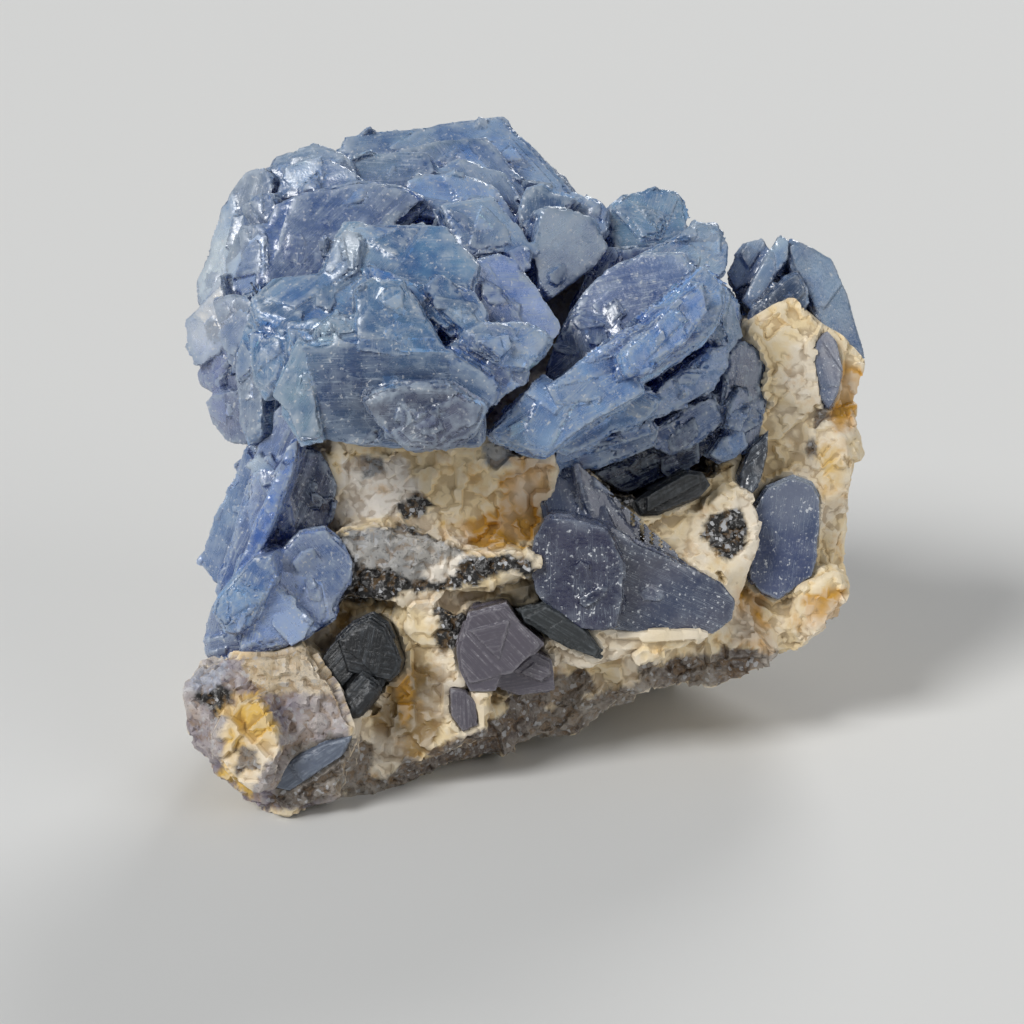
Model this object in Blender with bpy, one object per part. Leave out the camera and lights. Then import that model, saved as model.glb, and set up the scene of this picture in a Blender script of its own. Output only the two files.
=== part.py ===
"""Sapphire crystal cluster: blue tabular crystals grown on a cream and grey rock.

Metres, +Z up, front towards -Y. The origin is the centre of the bounding box, on the surface it stands on.
Every crystal is drawn as a collector would sketch it: the outline of its front face on a sheet between
the specimen and the viewing point. The outline is carried on to the crystal's own tilted plane, and the
crystal is grown back from there as a stack of flat layers.
"""
import math
import random
from collections import namedtuple

import bmesh
import bpy
from mathutils import Vector, noise

MM = 0.001

# Driving dimensions, in metres and radians
SPECIMEN_WIDTH = 0.0975
LOOK_DOWN = math.radians(18.0)
GAP = 0.00032

# The drawing sheet: its width in its own units, and the specimen's width on it
SHEET_WIDTH = 1024.0
SPECIMEN_ON_SHEET = 682.0
VIEW_RATIO = 85.0 / 36.0
UNIT = SPECIMEN_WIDTH / SPECIMEN_ON_SHEET
EYE_DISTANCE = VIEW_RATIO * SHEET_WIDTH * UNIT

RIGHT = Vector((1.0, 0.0, 0.0))
UP = Vector((0.0, math.sin(LOOK_DOWN), math.cos(LOOK_DOWN)))
TOWARDS = Vector((0.0, -math.cos(LOOK_DOWN), math.sin(LOOK_DOWN)))
SHEET_CENTRE = Vector((-2.23 * MM, -1.51 * MM, 32.0 * MM))
UNDER_SHEET = Vector((SHEET_CENTRE.x, SHEET_CENTRE.y, 0.0))
EYE = SHEET_CENTRE + TOWARDS * EYE_DISTANCE

# The layers of a crystal: how far each reaches into the next, and how much narrower than the face one may be
LAYER_LAP = 0.4 * MM
LEAST_STEP = 0.005
MOST_STEP = 0.09

# The rock: the size of the grid that melts its lumps together, how many triangles are kept, how large its
# breaks are and how far they stand out, and how that height is shared between smooth lumps and flat facets
ROCK_VOXEL = 1.5 * MM
ROCK_TRIANGLES = 2200
BREAK_SIZE = 7.0 * MM
BREAK_HEIGHT = 1.1 * MM
FACETS_PER_LUMP = 1.3
LUMP_SHARE = 1.2
FACET_SHARE = 0.8
MEAN_HEIGHT = 0.4

# Working sizes: points nearer than this are one, the sharpest corner that is moved out in full, and a block
# that is larger than the whole specimen
MERGE = 2e-6
SHARPEST = 0.4
BLOCK = 0.4

ROCK_ROUGHNESS = 0.75
CRYSTAL_ROUGHNESS = 0.3

Plate = namedtuple("Plate", "outline depth turn tip thick layers flare")


def plate(outline, depth, turn, tip, thick, layers=1, flare=0.94):
    """A crystal by its front outline on the sheet. depth is how far in front of the sheet its face lies and
    thick how deep it goes, in millimetres. turn is how far the face looks to the right and tip how far up,
    in degrees. It has this many layers, and flare is its width at the far end beside that at the front."""
    return Plate(outline, depth, turn, tip, thick, layers, flare)


# The large rosette, upper left, from the back of it to the front
ROSE = {
    "crown": plate([(338, 152), (343, 136), (505, 115), (512, 124), (580, 197), (520, 200), (420, 190)],
                   -12, 8, 22, 9, 2),
    "crown_behind": plate([(520, 150), (566, 176), (583, 200), (540, 215)], -17, 20, 15, 6),
    "crown_step": plate([(392, 152), (440, 140), (486, 137), (500, 151), (532, 190), (515, 205),
                         (430, 190)], -7, 8, 20, 10, 2),
    "upper_step": plate([(420, 176), (452, 168), (462, 158), (484, 165), (506, 173), (524, 205),
                         (520, 224), (440, 200)], -2, 10, 18, 12, 2),
    "upper_rim": plate([(352, 172), (360, 157), (385, 151), (428, 152), (434, 170), (420, 190),
                        (370, 190)], -1, -2, 20, 12, 2),
    "arch": plate([(405, 180), (432, 173), (470, 176), (498, 188), (512, 212), (522, 232), (470, 225),
                   (420, 215)], 3, 8, 16, 12, 1),
    "striped": plate([(440, 204), (494, 196), (503, 208), (526, 239), (520, 247), (478, 259),
                      (460, 248)], 11, 14, 16, 14, 2),
    "striped_tip": plate([(508, 250), (524, 244), (534, 252), (531, 268), (520, 275)], 12, 20, 10, 10),
    "hollow_floor": plate([(372, 226), (386, 200), (420, 192), (470, 210), (476, 262), (420, 262)],
                          -1, 5, 14, 10, 1),
    "left_wall": plate([(197, 306), (196, 282), (203, 262), (214, 236), (222, 206), (233, 188),
                        (245, 172), (264, 167), (274, 185), (262, 230), (250, 280), (240, 320),
                        (215, 332)], 0, -30, 14, 13, 3),
    "left_flake": plate([(184, 319), (204, 304), (219, 274), (229, 305), (234, 338), (229, 344),
                         (203, 365), (188, 355)], 9, -28, 4, 7, 1),
    "left_flake_under": plate([(184, 346), (190, 338), (212, 345), (216, 356), (201, 366), (189, 358)],
                              7, -30, -8, 5),
    "left_white": plate([(243, 212), (250, 196), (268, 191), (273, 205), (266, 225), (250, 232),
                         (241, 226)], 5, -35, 10, 6),
    "left_second": plate([(225, 268), (234, 238), (243, 224), (254, 224), (266, 236), (268, 262),
                          (262, 296), (244, 302), (230, 285)], 8, -32, 8, 9, 2),
    "top_left": plate([(266, 174), (275, 153), (302, 151), (316, 142), (346, 154), (358, 176),
                       (340, 196), (278, 200)], -1, -10, 22, 12, 2),
    "top_left_inner": plate([(276, 199), (285, 168), (302, 159), (323, 155), (356, 174), (358, 184),
                             (330, 196)], 4, -12, 20, 9, 1),
    "inner_face": plate([(254, 285), (262, 242), (276, 204), (300, 193), (357, 179), (404, 184),
                         (425, 200), (384, 214), (378, 240), (330, 300)], 8, 2, 12, 14, 1),
    "peak": plate([(320, 273), (336, 232), (343, 221), (362, 220), (371, 224), (446, 225), (462, 246),
                   (477, 263), (470, 290), (420, 300), (350, 300)], 24, -3, 26, 22, 3),
    "peak_left": plate([(322, 276), (336, 236), (345, 228), (360, 240), (356, 270), (335, 285)],
                       25, -18, 20, 8),
    "peak_blade": plate([(366, 262), (420, 284), (458, 300), (470, 318), (446, 330), (420, 312),
                         (380, 290)], 28, 10, 18, 10, 1),
    "peak_facet": plate([(425, 284), (440, 274), (462, 286), (476, 292), (488, 311), (484, 321),
                         (462, 328), (442, 310)], 29, 18, 12, 9, 1),
    "violet": plate([(452, 272), (472, 262), (500, 253), (513, 257), (530, 276), (546, 302), (561, 323),
                     (560, 333), (548, 345), (500, 345), (470, 318)], 23, 18, 12, 20, 2),
    "lobe_upper": plate([(462, 332), (482, 322), (526, 322), (546, 331), (555, 343), (545, 356),
                         (528, 368), (500, 366), (472, 350)], 28, 20, 4, 16, 2),
    "lobe_lower": plate([(452, 345), (500, 336), (516, 352), (530, 368), (527, 384), (510, 393),
                         (492, 402), (462, 404), (446, 380)], 28, 22, -8, 18, 2),
    "lobe_chip": plate([(479, 342), (508, 334), (513, 346), (502, 359), (492, 352)], 30, 18, 0, 4),
    "rhomb": plate([(533, 252), (541, 216), (549, 205), (574, 208), (592, 216), (601, 236), (608, 249),
                    (600, 262), (576, 280), (552, 298), (541, 286)], 8, 24, 8, 16, 2),
    "rhomb_behind": plate([(560, 203), (578, 197), (599, 198), (610, 212), (609, 226), (602, 244),
                           (580, 230)], 1, 12, 12, 12, 2),
    "rhomb_left": plate([(520, 206), (526, 189), (540, 185), (553, 193), (576, 198), (562, 208),
                         (546, 222), (534, 250), (521, 230)], 5, 4, 14, 12, 1),
    "drum_top": plate([(250, 296), (275, 277), (320, 272), (372, 270), (404, 279), (420, 286),
                       (424, 312), (400, 330), (290, 330), (256, 316)], 27, -4, 30, 24, 2),
    "drum_brow": plate([(356, 292), (372, 281), (402, 280), (417, 300), (428, 322), (446, 350),
                        (400, 356), (358, 350)], 32, 8, 4, 20, 2),
    "drum_ledge": plate([(316, 330), (330, 318), (362, 316), (366, 334), (352, 344), (318, 344)],
                        32, 0, -6, 14, 2),
    "drum_left": plate([(286, 322), (330, 322), (340, 350), (330, 380), (300, 380), (290, 350)],
                       30, -8, -4, 18, 1),
    "drum_wall": plate([(302, 346), (345, 342), (400, 350), (450, 352), (482, 372), (500, 386),
                        (496, 402), (478, 418), (482, 446), (400, 449), (352, 445), (320, 440),
                        (312, 400)], 31, 3, -12, 30, 2),
    "drum_lens": plate([(363, 403), (372, 394), (400, 386), (452, 386), (474, 400), (486, 406),
                        (480, 426), (470, 442), (440, 449), (403, 448), (381, 427)], 34, 6, -14, 8, 1),
    "flank_blue": plate([(262, 321), (288, 324), (293, 346), (282, 382), (264, 402), (252, 382),
                         (250, 345)], 28, -26, 2, 20, 1),
    "flank_blade": plate([(297, 342), (304, 347), (312, 386), (321, 438), (300, 441), (288, 412),
                          (272, 396), (284, 370)], 32, -12, -8, 18, 1),
    "flank_rim": plate([(252, 300), (270, 282), (268, 320), (258, 350), (262, 400), (262, 432),
                        (246, 446), (238, 425), (236, 370), (242, 330)], 21, -34, 2, 16, 2),
    "flank_grey": plate([(212, 300), (232, 296), (252, 300), (250, 350), (240, 380), (228, 360),
                         (230, 330)], 13, -34, 4, 14, 1),
    "under_left": plate([(196, 376), (203, 364), (236, 345), (250, 372), (243, 394), (214, 394),
                         (200, 386)], 8, -34, -18, 16, 2),
    "under_left_low": plate([(205, 402), (216, 393), (244, 392), (256, 420), (246, 446), (226, 441),
                             (212, 424)], 9, -30, -16, 16, 2),
    "back_upper": plate([(250, 200), (300, 160), (420, 160), (520, 190), (560, 260), (520, 340),
                         (330, 340), (250, 290)], -7, 0, 14, 12, 3, 0.9),
    "back_lower": plate([(228, 300), (300, 280), (480, 290), (520, 360), (480, 420), (300, 430),
                         (240, 400)], 12, -4, 0, 20, 3, 0.88),
}

# The fan of tilted books right of the rosette
FAN = {
    "far_top": plate([(604, 226), (610, 206), (632, 193), (672, 190), (684, 199), (682, 211),
                      (688, 227), (700, 250), (640, 262), (612, 250)], -2, 6, 20, 14, 3),
    "second": plate([(618, 268), (655, 248), (690, 226), (708, 221), (719, 224), (721, 234), (728, 244),
                     (726, 270), (712, 282), (660, 296), (625, 300)], 5, 14, 14, 14, 3),
    "broad": plate([(546, 368), (562, 324), (583, 292), (606, 268), (642, 252), (684, 252), (694, 268),
                    (665, 300), (610, 345), (566, 382), (548, 384)], 15, -8, 16, 18, 2),
    "main": plate([(548, 388), (578, 362), (620, 346), (650, 320), (680, 290), (704, 266), (714, 276),
                   (724, 286), (726, 302), (716, 326), (700, 346), (668, 366), (632, 384), (590, 404),
                   (556, 404)], 22, 12, 8, 18, 3),
    "main_ridge": plate([(620, 352), (652, 330), (684, 296), (702, 284), (708, 310), (690, 338),
                         (655, 362), (626, 376)], 25, 16, 2, 8, 1),
    "front": plate([(491, 432), (506, 418), (522, 396), (534, 386), (558, 392), (600, 378), (634, 376),
                    (644, 392), (610, 412), (576, 432), (548, 455), (533, 454), (520, 443), (500, 441)],
                   25, 4, 2, 16, 2),
    "front_under": plate([(552, 446), (592, 412), (640, 390), (660, 400), (654, 414), (612, 434),
                          (572, 452)], 21, 8, -6, 14, 2),
    "edge_right": plate([(640, 410), (662, 386), (694, 368), (714, 348), (727, 345), (729, 366),
                         (716, 386), (700, 396), (668, 414), (650, 421)], 15, 18, -2, 14, 3),
    "edge_outer": plate([(712, 290), (728, 286), (736, 312), (744, 336), (730, 352), (712, 352),
                         (704, 330)], 10, 32, 6, 14, 2),
    "grey_under": plate([(540, 460), (590, 440), (650, 420), (658, 432), (656, 446), (628, 458),
                         (600, 469), (574, 469)], 14, 4, -14, 14, 1),
    "navy_under": plate([(648, 432), (700, 402), (717, 396), (722, 422), (704, 441), (672, 456),
                         (654, 448)], 9, 16, -8, 14, 1),
    "dark_under": plate([(596, 474), (630, 458), (700, 440), (722, 430), (724, 446), (700, 458),
                         (656, 481), (626, 493)], 5, 6, -16, 14, 1),
    "right_plate": plate([(728, 348), (746, 340), (763, 347), (773, 368), (775, 384), (766, 410),
                          (757, 446), (746, 452), (730, 440), (722, 400)], 5, 26, 4, 12, 2),
    "right_pale": plate([(729, 400), (738, 386), (750, 390), (748, 416), (742, 430), (726, 424)],
                        8, 16, 2, 5),
    "right_low": plate([(709, 456), (722, 438), (744, 430), (749, 446), (736, 458), (722, 463)],
                       7, 12, -8, 7),
    "back_stack": plate([(600, 250), (680, 240), (740, 300), (748, 420), (640, 450), (570, 440),
                         (560, 340)], 4, 6, 8, 18, 3, 0.88),
}

# The long blades down the left side
SIDE_BLADES = {
    "outer": plate([(243, 450), (236, 482), (214, 516), (205, 545), (199, 561), (205, 571), (214, 583),
                    (226, 574), (246, 520), (266, 470), (276, 440), (258, 432)], 13, -28, -4, 14, 2),
    "pale": plate([(262, 420), (282, 404), (291, 416), (297, 434), (288, 460), (262, 515), (236, 575),
                   (220, 600), (214, 590), (232, 540), (252, 480)], 20, -12, -4, 14, 2),
    "bright": plate([(288, 446), (297, 440), (296, 466), (282, 505), (262, 548), (246, 580), (232, 578),
                     (252, 532), (274, 486)], 24, -2, -4, 12, 1),
    "navy": plate([(294, 462), (304, 448), (320, 451), (331, 470), (337, 486), (333, 512), (328, 530),
                   (310, 534), (286, 552), (270, 552), (280, 516)], 17, 18, -4, 14, 2),
    "low_blue": plate([(232, 582), (254, 558), (272, 554), (276, 572), (262, 602), (250, 626),
                       (238, 634), (224, 632), (212, 614), (216, 598)], 25, -8, -10, 14, 1),
    "shell": plate([(302, 534), (326, 530), (346, 546), (353, 562), (350, 586), (338, 604), (328, 622),
                    (314, 632), (298, 622), (284, 600), (276, 578), (284, 552)], 21, 12, -6, 14, 2),
    "shell_low": plate([(252, 612), (276, 588), (296, 606), (318, 630), (300, 642), (268, 652),
                        (240, 656), (246, 634)], 23, 2, -14, 12, 1),
    "foot": plate([(203, 640), (211, 606), (222, 630), (246, 636), (250, 655), (222, 664), (206, 656)],
                  18, -16, -12, 14, 2),
    "spine": plate([(262, 440), (300, 450), (310, 530), (300, 600), (250, 640), (222, 630), (226, 570)],
                   14, -4, -6, 16, 2, 0.88),
}

# The group at the upper right corner
CORNER_BLADES = {
    "short": plate([(727, 273), (735, 258), (748, 241), (756, 243), (762, 236), (769, 248), (764, 259),
                    (750, 282), (736, 290)], -3, -8, 8, 9, 2),
    "long": plate([(742, 300), (762, 262), (776, 240), (782, 235), (789, 240), (786, 262), (766, 292),
                   (752, 310)], 0, -2, 8, 9, 2),
    "dark": plate([(752, 312), (784, 278), (798, 272), (806, 286), (808, 304), (798, 322), (782, 332),
                   (764, 336), (750, 326)], 2, 4, 0, 10, 2),
    "root": plate([(738, 290), (790, 262), (802, 300), (780, 330), (750, 325)], -3, 0, 4, 10, 1),
}
CORNER_PLATE = {
    "curved": plate([(788, 246), (796, 240), (812, 247), (831, 258), (839, 276), (848, 296), (858, 330),
                     (864, 352), (860, 360), (842, 342), (826, 330), (816, 312), (806, 290), (794, 268)],
                    -1, 18, 14, 12, 3),
    "curved_behind": plate([(800, 252), (826, 262), (844, 300), (856, 345), (836, 336), (812, 300)],
                           -10, 22, 14, 9, 2),
}

# Crystals set in the rock, each a piece of its own
WEDGE = {
    "pale_face": plate([(537, 466), (577, 458), (598, 492), (616, 528), (600, 534), (566, 526),
                        (545, 522), (538, 498)], 14, -6, 14, 26),
    "dark_face": plate([(545, 518), (572, 520), (606, 530), (622, 560), (622, 600), (616, 629),
                        (576, 629), (552, 614), (534, 592), (529, 560), (534, 538)], 19, -8, -10, 24),
    "right_wing": plate([(600, 522), (640, 546), (700, 572), (721, 584), (736, 602), (732, 620),
                         (714, 634), (660, 635), (610, 630), (606, 575)], 15, 14, -8, 22),
    "ridge": plate([(577, 460), (592, 476), (640, 540), (700, 572), (640, 576), (600, 540), (584, 500)],
                   14, 20, 8, 20),
}
SLAB = {
    "slab": plate([(768, 488), (794, 478), (812, 485), (820, 500), (820, 528), (817, 560), (812, 576),
                   (790, 592), (778, 600), (761, 592), (750, 580), (749, 545), (754, 510)],
                  5, 4, -6, 16, 1),
}
BLACK_PRISM = {
    "prism": plate([(636, 502), (650, 492), (690, 470), (702, 472), (711, 485), (700, 497), (660, 513),
                    (641, 514)], 11, 4, -2, 14, 1),
}
TABLET_LARGE = {
    "tablet": plate([(318, 664), (332, 644), (352, 624), (372, 615), (386, 625), (396, 645), (402, 660),
                     (400, 672), (390, 683), (362, 664), (330, 700), (322, 690)], 22, -4, 0, 14, 1),
}
TABLET_SMALL = {
    "tablet": plate([(335, 706), (362, 674), (376, 684), (380, 692), (372, 703), (360, 717), (345, 720),
                     (331, 714)], 23, -2, -4, 12, 1),
}
ROD = {
    "rod": plate([(520, 610), (545, 605), (562, 614), (586, 630), (601, 650), (597, 658), (574, 650),
                  (549, 636), (524, 621)], 18, 4, -4, 10, 1),
}
GREY_LATH = {
    "lath": plate([(811, 348), (828, 330), (838, 341), (843, 368), (839, 394), (830, 408), (822, 396),
                   (819, 366)], 4, 14, 2, 10, 1),
}
LATH_LOW = {
    "lath": plate([(741, 472), (750, 450), (769, 432), (766, 458), (760, 482), (750, 496), (740, 490)],
                  7, 10, 0, 10, 1),
}
QUARTZ = {
    "upper": plate([(468, 612), (506, 602), (522, 624), (546, 644), (536, 654), (504, 668), (496, 692),
                    (470, 692), (458, 668), (456, 648)], 19, 0, -4, 14, 1),
    "lower": plate([(500, 668), (536, 652), (552, 660), (556, 690), (520, 696), (500, 690)],
                   16, 6, -12, 12, 1),
}
SMOKY = {
    "slab": plate([(450, 688), (466, 690), (476, 702), (479, 726), (462, 732), (451, 716)],
                  18, 6, -6, 10, 1),
}
GREY_SLAB = {
    "slab": plate([(270, 787), (290, 760), (324, 744), (352, 736), (342, 756), (312, 776), (290, 791)],
                  25, 2, -10, 10, 1),
}

# The rock, as overlapping lumps drawn the same way
ROCK = {
    "seat_upper": plate([(330, 250), (450, 220), (600, 230), (730, 280), (745, 420), (560, 450),
                         (330, 430)], -11, 0, 4, 20, 1, 0.8),
    "core": plate([(310, 430), (560, 440), (620, 500), (740, 520), (740, 640), (642, 690), (500, 740),
                   (350, 780), (270, 700)], 8, 2, -10, 38, 1, 0.84),
    "core_right": plate([(540, 400), (760, 400), (760, 560), (600, 560)], -2, 6, -6, 26, 1, 0.84),
    "cream_front": plate([(312, 432), (560, 434), (556, 560), (330, 560)], 14, 0, -8, 30, 1, 0.9),
    "band": plate([(334, 530), (360, 530), (400, 524), (440, 540), (540, 552), (550, 580), (470, 588),
                   (400, 606), (340, 604)], 19, 0, -10, 26, 1, 0.9),
    "hollow_below": plate([(330, 600), (540, 570), (540, 660), (400, 680), (330, 650)],
                          13, 0, -6, 26, 1, 0.9),
    "nodule": plate([(396, 630), (440, 606), (470, 620), (462, 650), (440, 664), (408, 660)],
                    17, 0, -6, 16, 1, 0.9),
    "brown_lower": plate([(385, 680), (402, 664), (460, 666), (490, 692), (490, 740), (430, 762),
                          (404, 760), (384, 792), (346, 800), (356, 740)], 17, 2, -8, 26, 1, 0.9),
    "left_lump": plate([(177, 696), (192, 674), (216, 658), (300, 650), (336, 690), (352, 740),
                        (345, 800), (300, 809), (252, 812), (216, 776), (196, 748), (180, 726)],
                       24, -6, -6, 34, 1, 0.84),
    "crust": plate([(232, 692), (258, 696), (284, 742), (268, 790), (242, 796), (216, 770), (210, 742)],
                   29, -8, -6, 14, 1, 0.9),
    "left_under_blades": plate([(222, 640), (330, 590), (340, 660), (230, 690)], 14, -6, 0, 24, 1, 0.9),
    "left_core": plate([(256, 480), (340, 440), (350, 620), (240, 660)], 4, -8, -4, 30, 1, 0.84),
    "base_ridge": plate([(330, 802), (400, 790), (470, 764), (540, 746), (600, 724), (642, 700),
                         (646, 672), (540, 690), (400, 730)], 8, 24, -10, 30, 1, 0.94),
    "right_foot": plate([(590, 668), (640, 646), (740, 632), (785, 654), (766, 668), (746, 681),
                         (700, 689), (640, 690)], 7, 6, -18, 30, 1, 0.92),
    "right_body": plate([(742, 320), (800, 296), (850, 340), (862, 368), (860, 400), (855, 430),
                         (858, 456), (855, 500), (845, 516), (845, 545), (838, 555), (848, 590),
                         (846, 610), (836, 634), (810, 648), (764, 662), (700, 650), (716, 560),
                         (740, 450)], 1, 8, -4, 34, 1, 0.8),
    "right_shoulder": plate([(748, 336), (800, 330), (826, 352), (828, 396), (770, 402), (766, 350)],
                            5, 6, 2, 16, 1, 0.9),
    "right_lower_lobe": plate([(796, 586), (838, 572), (848, 596), (836, 634), (806, 646), (796, 620)],
                              5, 10, -8, 14, 1, 0.9),
    "right_rib": plate([(814, 440), (856, 436), (857, 500), (838, 512), (824, 500)],
                       4, 14, 0, 14, 1, 0.9),
    "triangle": plate([(628, 508), (700, 500), (756, 486), (752, 560), (740, 604), (716, 590),
                       (660, 550)], 8, 4, -8, 20, 1, 0.9),
    "ledge_right": plate([(700, 470), (742, 448), (748, 470), (752, 500), (716, 500)],
                         4, 6, -4, 14, 1, 0.9),
    "shelf": plate([(540, 650), (560, 634), (640, 630), (720, 632), (700, 652), (600, 668), (590, 678),
                    (560, 672)], 15, 4, -14, 22, 1, 0.9),
    "rear_heel": plate([(330, 560), (680, 560), (690, 680), (520, 720), (330, 740)],
                       -18, 0, -4, 18, 1, 0.9),
}

# Flat breaks that end the rock at the back and the sides: a point, in millimetres from the point of the base
# under the sheet's centre, and the way the break faces
BREAKS = [
    ((39, 23.5, 30), (0.75, 0.62, -0.22)),
    ((31, 33.5, 58), (0.28, 0.66, 0.70)),
    ((-13, 35.5, 50), (-0.42, 0.78, 0.46)),
    ((-35, 21.5, 18), (-0.66, 0.72, -0.20)),
    ((1, 37.5, 14), (0.10, 0.94, -0.34)),
    ((47, 3.5, 20), (0.86, -0.10, -0.50)),
    ((-41, -0.5, 40), (-0.90, 0.10, 0.42)),
]

COLOURS = {
    "rose_crystals": (0.16, 0.27, 0.45),
    "fan_crystals": (0.17, 0.29, 0.47),
    "side_blades": (0.21, 0.30, 0.48),
    "corner_blades": (0.22, 0.30, 0.40),
    "corner_plate": (0.15, 0.23, 0.36),
    "wedge_crystal": (0.10, 0.12, 0.20),
    "slab_crystal": (0.14, 0.17, 0.25),
    "black_prism": (0.02, 0.02, 0.025),
    "dark_tablet_large": (0.025, 0.027, 0.032),
    "dark_tablet_small": (0.03, 0.032, 0.04),
    "slate_rod": (0.05, 0.055, 0.06),
    "grey_lath": (0.25, 0.26, 0.29),
    "low_lath": (0.09, 0.10, 0.12),
    "quartz_lump": (0.20, 0.19, 0.21),
    "smoky_slab": (0.14, 0.14, 0.16),
    "grey_slab": (0.16, 0.18, 0.22),
    "matrix_rock": (0.55, 0.42, 0.24),
}

# In this order each group is cut back to leave a gap to those before it
GROUPS = {
    "rose_crystals": ROSE,
    "fan_crystals": FAN,
    "side_blades": SIDE_BLADES,
    "corner_plate": CORNER_PLATE,
    "corner_blades": CORNER_BLADES,
    "wedge_crystal": WEDGE,
    "slab_crystal": SLAB,
    "black_prism": BLACK_PRISM,
    "dark_tablet_large": TABLET_LARGE,
    "dark_tablet_small": TABLET_SMALL,
    "slate_rod": ROD,
    "grey_lath": GREY_LATH,
    "low_lath": LATH_LOW,
    "quartz_lump": QUARTZ,
    "smoky_slab": SMOKY,
    "grey_slab": GREY_SLAB,
}

def facing(turn, tip):
    """The direction that a face looks in, from how far it is turned right and tipped up."""
    turn, tip = math.radians(turn), math.radians(tip)
    level = RIGHT * math.sin(turn) + TOWARDS * math.cos(turn)
    return (level * math.cos(tip) + UP * math.sin(tip)).normalized()


def sight(u, v):
    """The direction from the eye through a point of the sheet."""
    half = SHEET_WIDTH / 2
    return SHEET_CENTRE + RIGHT * ((u - half) * UNIT) + UP * ((half - v) * UNIT) - EYE


def taut(outline):
    """The outline's convex hull on the sheet, as a string pulled round it would lie."""
    ordered = sorted(outline)
    sides = []
    for run in (ordered, ordered[::-1]):
        side = []
        for u, v in run:
            while len(side) > 1 and ((side[-1][0] - side[-2][0]) * (v - side[-2][1])
                                     <= (side[-1][1] - side[-2][1]) * (u - side[-2][0])):
                side.pop()
            side.append((u, v))
        sides += side[:-1]
    return sides


def face_points(shape, pulled_taut=False):
    """The outline carried on to the crystal's own plane, the outline's middle and the plane's normal."""
    normal = facing(shape.turn, shape.tip)
    count = len(shape.outline)
    mean_sight = sight(sum(u for u, _ in shape.outline) / count, sum(v for _, v in shape.outline) / count)
    middle = EYE + mean_sight * ((EYE_DISTANCE - shape.depth * MM) / EYE_DISTANCE)
    points = []
    for u, v in taut(shape.outline) if pulled_taut else shape.outline:
        ray = sight(u, v)
        points.append(EYE + ray * (normal.dot(middle - EYE) / normal.dot(ray)))
    return points, middle, normal


def signed_area(points, normal):
    """Twice the outline's area, positive where it runs anticlockwise about the normal."""
    first = points[0]
    return sum(((a - first).cross(b - first)).dot(normal) for a, b in zip(points[1:], points[2:]))


def layer_scales(shape):
    """How large each layer is beside the face. None is larger than the face, which keeps its outline."""
    dice = random.Random(int(sum(shape.outline[0])))
    scales = [1.0]
    for index in range(1, shape.layers):
        scales.append(1.0 - dice.uniform(LEAST_STEP, MOST_STEP))
    return scales


def add_prism(mesh, front, back):
    """Adds one closed prism between two outlines that run anticlockwise as seen from the front."""
    near = [mesh.verts.new(p) for p in front]
    far = [mesh.verts.new(p) for p in back]
    count = len(near)
    mesh.faces.new(near)
    mesh.faces.new(list(reversed(far)))
    for i in range(count):
        j = (i + 1) % count
        mesh.faces.new((near[j], near[i], far[i], far[j]))


def widened(points, normal, by):
    """The outline moved outwards by this much all round, within its own plane. It runs anticlockwise."""
    if by == 0.0:
        return points
    moved = []
    for before, here, after in zip(points[-1:] + points[:-1], points, points[1:] + points[:1]):
        first = (here - before).normalized().cross(normal)
        second = (after - here).normalized().cross(normal)
        moved.append(here + (first + second) * (by / max(1.0 + first.dot(second), SHARPEST)))
    return moved


def grow(mesh, shape, clearance=0.0):
    """Adds a crystal to the mesh as its stack of layers, or, with a clearance, the room that it needs."""
    points, centre, normal = face_points(shape, pulled_taut=clearance > 0.0)
    if signed_area(points, normal) < 0:
        points.reverse()
    scales = layer_scales(shape) if clearance == 0.0 else [1.0]
    step = shape.thick * MM / len(scales)
    for index, scale in enumerate(scales):
        start = index * step - (LAYER_LAP if index else 0.0)
        end = (index + 1) * step
        near, far = [scale * (1.0 - (1.0 - shape.flare) * i / len(scales)) for i in (index, index + 1)]
        front = widened([centre + (p - centre) * near for p in points], normal, clearance)
        back = widened([centre + (p - centre) * far for p in points], normal, clearance)
        near_end = [p - normal * (start - clearance) for p in front]
        far_end = [p - normal * (end + clearance) for p in back]
        add_prism(mesh, near_end, far_end)


def object_of(name, mesh_data):
    """A new object in the scene that holds this mesh."""
    thing = bpy.data.objects.new(name, mesh_data)
    bpy.context.scene.collection.objects.link(thing)
    return thing


def shells(name, group, clearance=0.0):
    """All crystals of a group in one mesh, each still a closed shell of its own."""
    mesh = bmesh.new()
    for shape in group.values():
        grow(mesh, shape, clearance)
    bmesh.ops.triangulate(mesh, faces=mesh.faces[:])
    data = bpy.data.meshes.new(name)
    mesh.to_mesh(data)
    mesh.free()
    return data


def evaluated_copy(thing, name):
    """A mesh of the object with its modifiers applied."""
    bpy.context.view_layer.update()
    graph = bpy.context.evaluated_depsgraph_get()
    data = bpy.data.meshes.new_from_object(thing.evaluated_get(graph))
    data.name = name
    return data


def boolean(thing, other, operation):
    """Joins or cuts the object with another, and keeps the result as its own mesh."""
    modifier = thing.modifiers.new("boolean", "BOOLEAN")
    modifier.operation = operation
    modifier.solver = "EXACT"
    modifier.use_self = True
    modifier.object = other
    data = evaluated_copy(thing, thing.name)
    thing.modifiers.clear()
    old = thing.data
    thing.data = data
    bpy.data.meshes.remove(old)


def discard(thing):
    """Removes a helper object and its mesh."""
    data = thing.data
    bpy.data.objects.remove(thing)
    bpy.data.meshes.remove(data)


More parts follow.
